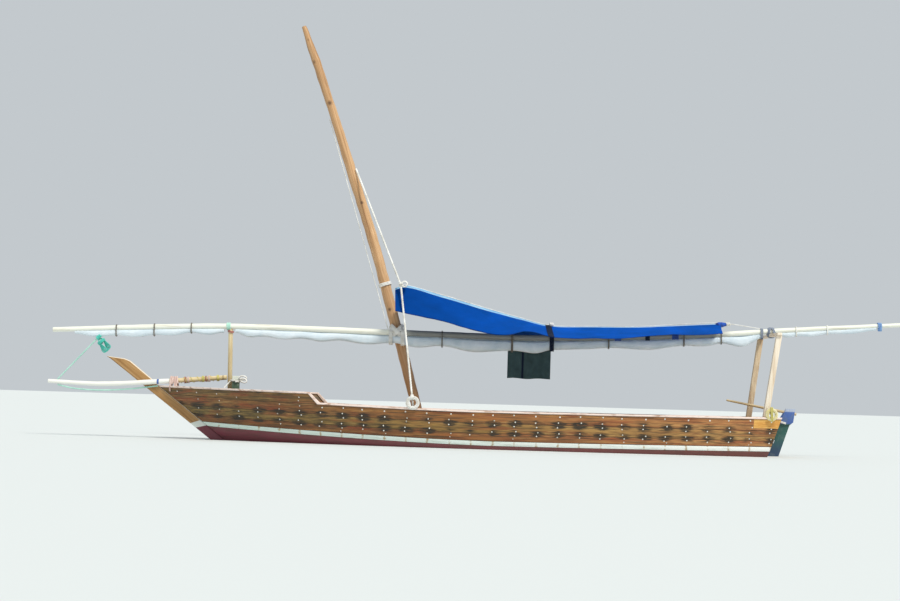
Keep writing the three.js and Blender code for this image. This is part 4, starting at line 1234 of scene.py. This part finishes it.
# %% Coiled ropes
def coil_path(lead, centre, across, up, ring, bundle, turns):
    """Points of a rope from its lead into turns that lie round a ring. The turns start at its top."""
    centre, across, up = Vector(centre), Vector(across).normalized(), Vector(up).normalized()
    inward = across.cross(up) * -1
    path = [Vector(p) for p in lead]
    for i in range(round((turns - 0.35) * 40)):
        turn = i / 40
        angle = 2 * math.pi * turn
        place = 2 * math.pi * turn / turns
        radial = across * math.sin(angle) + up * math.cos(angle)
        path.append(centre + radial * (ring + bundle * math.sin(place)) + inward * bundle * math.cos(place))
    return path


def declared(piece, path):
    """Prints a rope's real length."""
    print(piece.name, "is", round(length_of(path), 2), "m long")


ROUND_X = ((1, 0, 0), (0, 0, 1))  # axis and upward side of a winding or a ring
BUNDLE = 0.0222
LAID_RADIUS = 0.0075
RING = 0.083
low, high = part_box("rope_coil")
middle = (low + high) / 2
top = middle.z + RING
seizing = lashed("coil_seizing", white_rope, [
    ((-0.556, middle.y + 0.052, top + 0.006), *ROUND_X, 0.078, 0.030, 0.008, 3),
])
lead = [
    (middle.x - 0.036, middle.y + 0.074, top), (middle.x - 0.035, middle.y + 0.056, top),
    (middle.x - 0.026, middle.y + 0.034, top), (middle.x - 0.012, middle.y + 0.0245, top),
]
path = coil_path(lead, middle, *ROUND_X, RING, BUNDLE, 9)
piece, path = rope("rope_coil_strands", path, LAID_RADIUS, white_rope, ["rope_coil"])
declared(piece, path)

PALE_RING = 0.076
PALE_MIDDLE = Vector((5.235, -1.022, 0.690))
seizing = lashed("yellow_seizing", yellow_cord, [
    ((PALE_MIDDLE.x, PALE_MIDDLE.y, PALE_MIDDLE.z + 0.004), *ROUND_X, 0.033, 0.106, 0.007, 3),
])
lead = [
    (5.170, -0.934, PALE_MIDDLE.z + 0.106), (5.178, -0.955, PALE_MIDDLE.z + 0.104),
    (5.195, -0.982, PALE_MIDDLE.z + 0.093), (5.215, -0.996, PALE_MIDDLE.z + 0.082),
]
path = coil_path(lead, PALE_MIDDLE, *ROUND_X, PALE_RING, BUNDLE, 9)
piece, path = rope("pale_rope_coil", path, LAID_RADIUS, pale_rope)
declared(piece, path)

# %% Teal hank at the upper bow line
HANK = {"run": 0.152, "end": 0.042, "turns": 9, "cord": 0.005, "fan": 3.5, "pitch": 0.0107}  # fan in degrees
hank_top = Vector((-5.790, -0.150, 1.612))
down = Vector((0.604, 0, -0.797))
aside = Vector((0.797, 0, 0.604))
run, end = HANK["run"], HANK["end"]
path = [Vector((-5.800, -0.198, 1.648)), Vector((-5.812, -0.198, 1.612))]
for i in range(HANK["turns"] * 24):
    turn, share = i / 24, i % 24 / 24
    if share < 0.25:
        spot = down * (end + run * share * 4) - aside * end
    elif share < 0.5:
        angle = math.pi * (share - 0.25) * 4
        spot = down * (run + end + end * math.sin(angle)) - aside * end * math.cos(angle)
    elif share < 0.75:
        spot = down * (run + end - run * (share - 0.5) * 4) + aside * end
    else:
        angle = math.pi * (share - 0.75) * 4
        spot = down * end * (1 - math.sin(angle)) + aside * end * math.cos(angle)
    from_middle = turn - HANK["turns"] / 2
    fan = Matrix.Rotation(math.radians(HANK["fan"] * from_middle), 3, "Y")
    path.append(hank_top + fan @ spot + Vector((0, HANK["pitch"] * from_middle, 0)))
seizing = lashed("hank_seizing", bright_teal, [
    (hank_top + down * 0.052, down, aside, 0.055, 0.060, 0.006, 4),
])
piece, path = rope("teal_hank", path[:-2], HANK["cord"], bright_teal)
declared(piece, path)
lashed("bow_line_knot", bright_teal, [
    ((-5.806, -0.168, 1.646), (0.68, 0, 0.73), (0, 1, 0), 0.015, 0.015, 0.010, 4),
])


# %% [markdown]
# ## Lashings
# Everything aloft is held by rope: the yard to the mast and to its posts, the bowsprit to the stem.

# %% Lashings at mast and stay
def round_spar(line, x, y, cord, turns, pitch=None):
    """A row for a winding square to a spar, at one x."""
    i = min(range(1, len(line) - 1), key=lambda k: abs(line[k].x - x))
    along = line[i + 1] - line[i - 1]
    radius, height = line[i].y, line[i].z
    return (line[i].x, y, height), (along.x, 0, along.z), (0, 1, 0), radius, radius, cord, turns, pitch


def round_bowsprit(x, cord, turns, pitch=None):
    """A row for a winding round the bowsprit."""
    return round_spar(bowsprit_line, x, bowsprit_y(x), cord, turns, pitch)


cross = Vector((-0.868, -0.056, 1.882))
lashed("mast_lashing", white_rope, [
    (cross, (0.7, 0, -0.7), (0.7, 0, 0.7), 0.152, 0.140, 0.009, 4),
    (cross, (0.7, 0, 0.7), (-0.7, 0, 0.7), 0.154, 0.142, 0.009, 4),
])
tied("mast_lashing_turns", white_rope, [(-0.965, 0.008, 4), (-0.765, 0.008, 4)])
lashed("mast_ring", white_rope, [round_spar(mast_line, -1.092, 0, 0.009, 3)])
lashed("backstay_knot", white_rope, [
    ((-0.748, -0.712, 2.640), (0, 1, 0), (0, 0, 1), 0.030, 0.030, 0.013, 2.5),
    (stay_bend, (0.26, 0.3, -0.92), (1, 0, 0), 0.017, 0.017, 0.009, 4),
])

# %% Lashings at the bow
lashed("bow_post_turns", teal_rope, [round_yard(-3.655, 0.008, 4)])
lashed("bow_post_knot", red_cord, [
    ((-3.620, YARD_Y, 1.800), (0, 0, 1), (1, 0, 0), 0.038, 0.038, 0.008, 2),
])
lashed("bowsprit_pink_turns", pink_rope, [
    ((-4.585, bowsprit_y(-4.585), 0.908), (1, 0, -0.1), (0, 0, 1), 0.052, 0.104, 0.014, 1.5),
    ((-4.500, bowsprit_y(-4.500), 0.912), (1, 0, 0.15), (0, 0, 1), 0.052, 0.098, 0.014, 2.5),
    round_bowsprit(-4.31, 0.007, 2),
    round_bowsprit(-3.93, 0.007, 2),
])
lashed("bowsprit_red_turns", red_cord, [
    round_bowsprit(-4.37, 0.007, 2),
    round_bowsprit(-3.98, 0.005, 2),
])
lashed("bowsprit_yellow_turns", yellow_cord, [
    round_bowsprit(-4.04, 0.006, 3),
    round_bowsprit(-3.81, 0.006, 3),
    round_bowsprit(-4.15, 0.004, 5, 0.11),
])
guy = [(-3.600, -0.196, 0.975), (-3.606, -0.300, 0.950), (-3.640, -0.605, 0.872)]
bm = bmesh.new()
tube(bm, curved(guy, 0.02), 0.009, 10)
put("bow_post_guy", bm, white_rope, sharp=60)
lashed("bollard_knot", white_rope, [
    ((-3.493, -0.271, 0.985), (0, 0, 1), (1, 0, 0), 0.078, 0.078, 0.008, 2),
    ((-3.375, -0.345, 1.035), (0, 1, 0.2), (0, 0, 1), 0.050, 0.024, 0.012, 1),
    ((-3.360, -0.356, 0.995), (0, 1, -0.2), (0.3, 0, 1), 0.042, 0.020, 0.012, 1),
])

# %% Lashings at the stern
radius, height = at_x(yard_line, 5.34)
low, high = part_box("stern_cross_beam")
grip = Vector((5.342, YARD_Y, (height + radius + low.z) / 2))
grip_half = (height + radius - low.z) / 2
lashed("stern_lashing", grey_cord, [
    (grip, (0.7, 0.7, 0), (0, 0, 1), 0.062, grip_half, 0.009, 4),
    (grip, (0.7, -0.7, 0), (0, 0, 1), 0.064, grip_half + 0.002, 0.009, 4),
])
lashed("rudder_lashing", white_rope, [
    ((5.585, 0, 0.560), (0.31, 0, 1), (0, 1, 0), 0.065, 0.050, 0.008, 2),
], body="rudder")

# %% [markdown]
# ## What stays as the CAD has it
# The ribs and the gudgeons have the right shape already, and only take a finish.

# %% CAD nodes with a new finish
for node, finish in (("ribs", seat_wood), ("gudgeon_1", iron), ("gudgeon_2", iron)):
    nodes[node].data.materials.clear()
    nodes[node].data.materials.append(finish)
    print(node, "is finished in", finish.name)
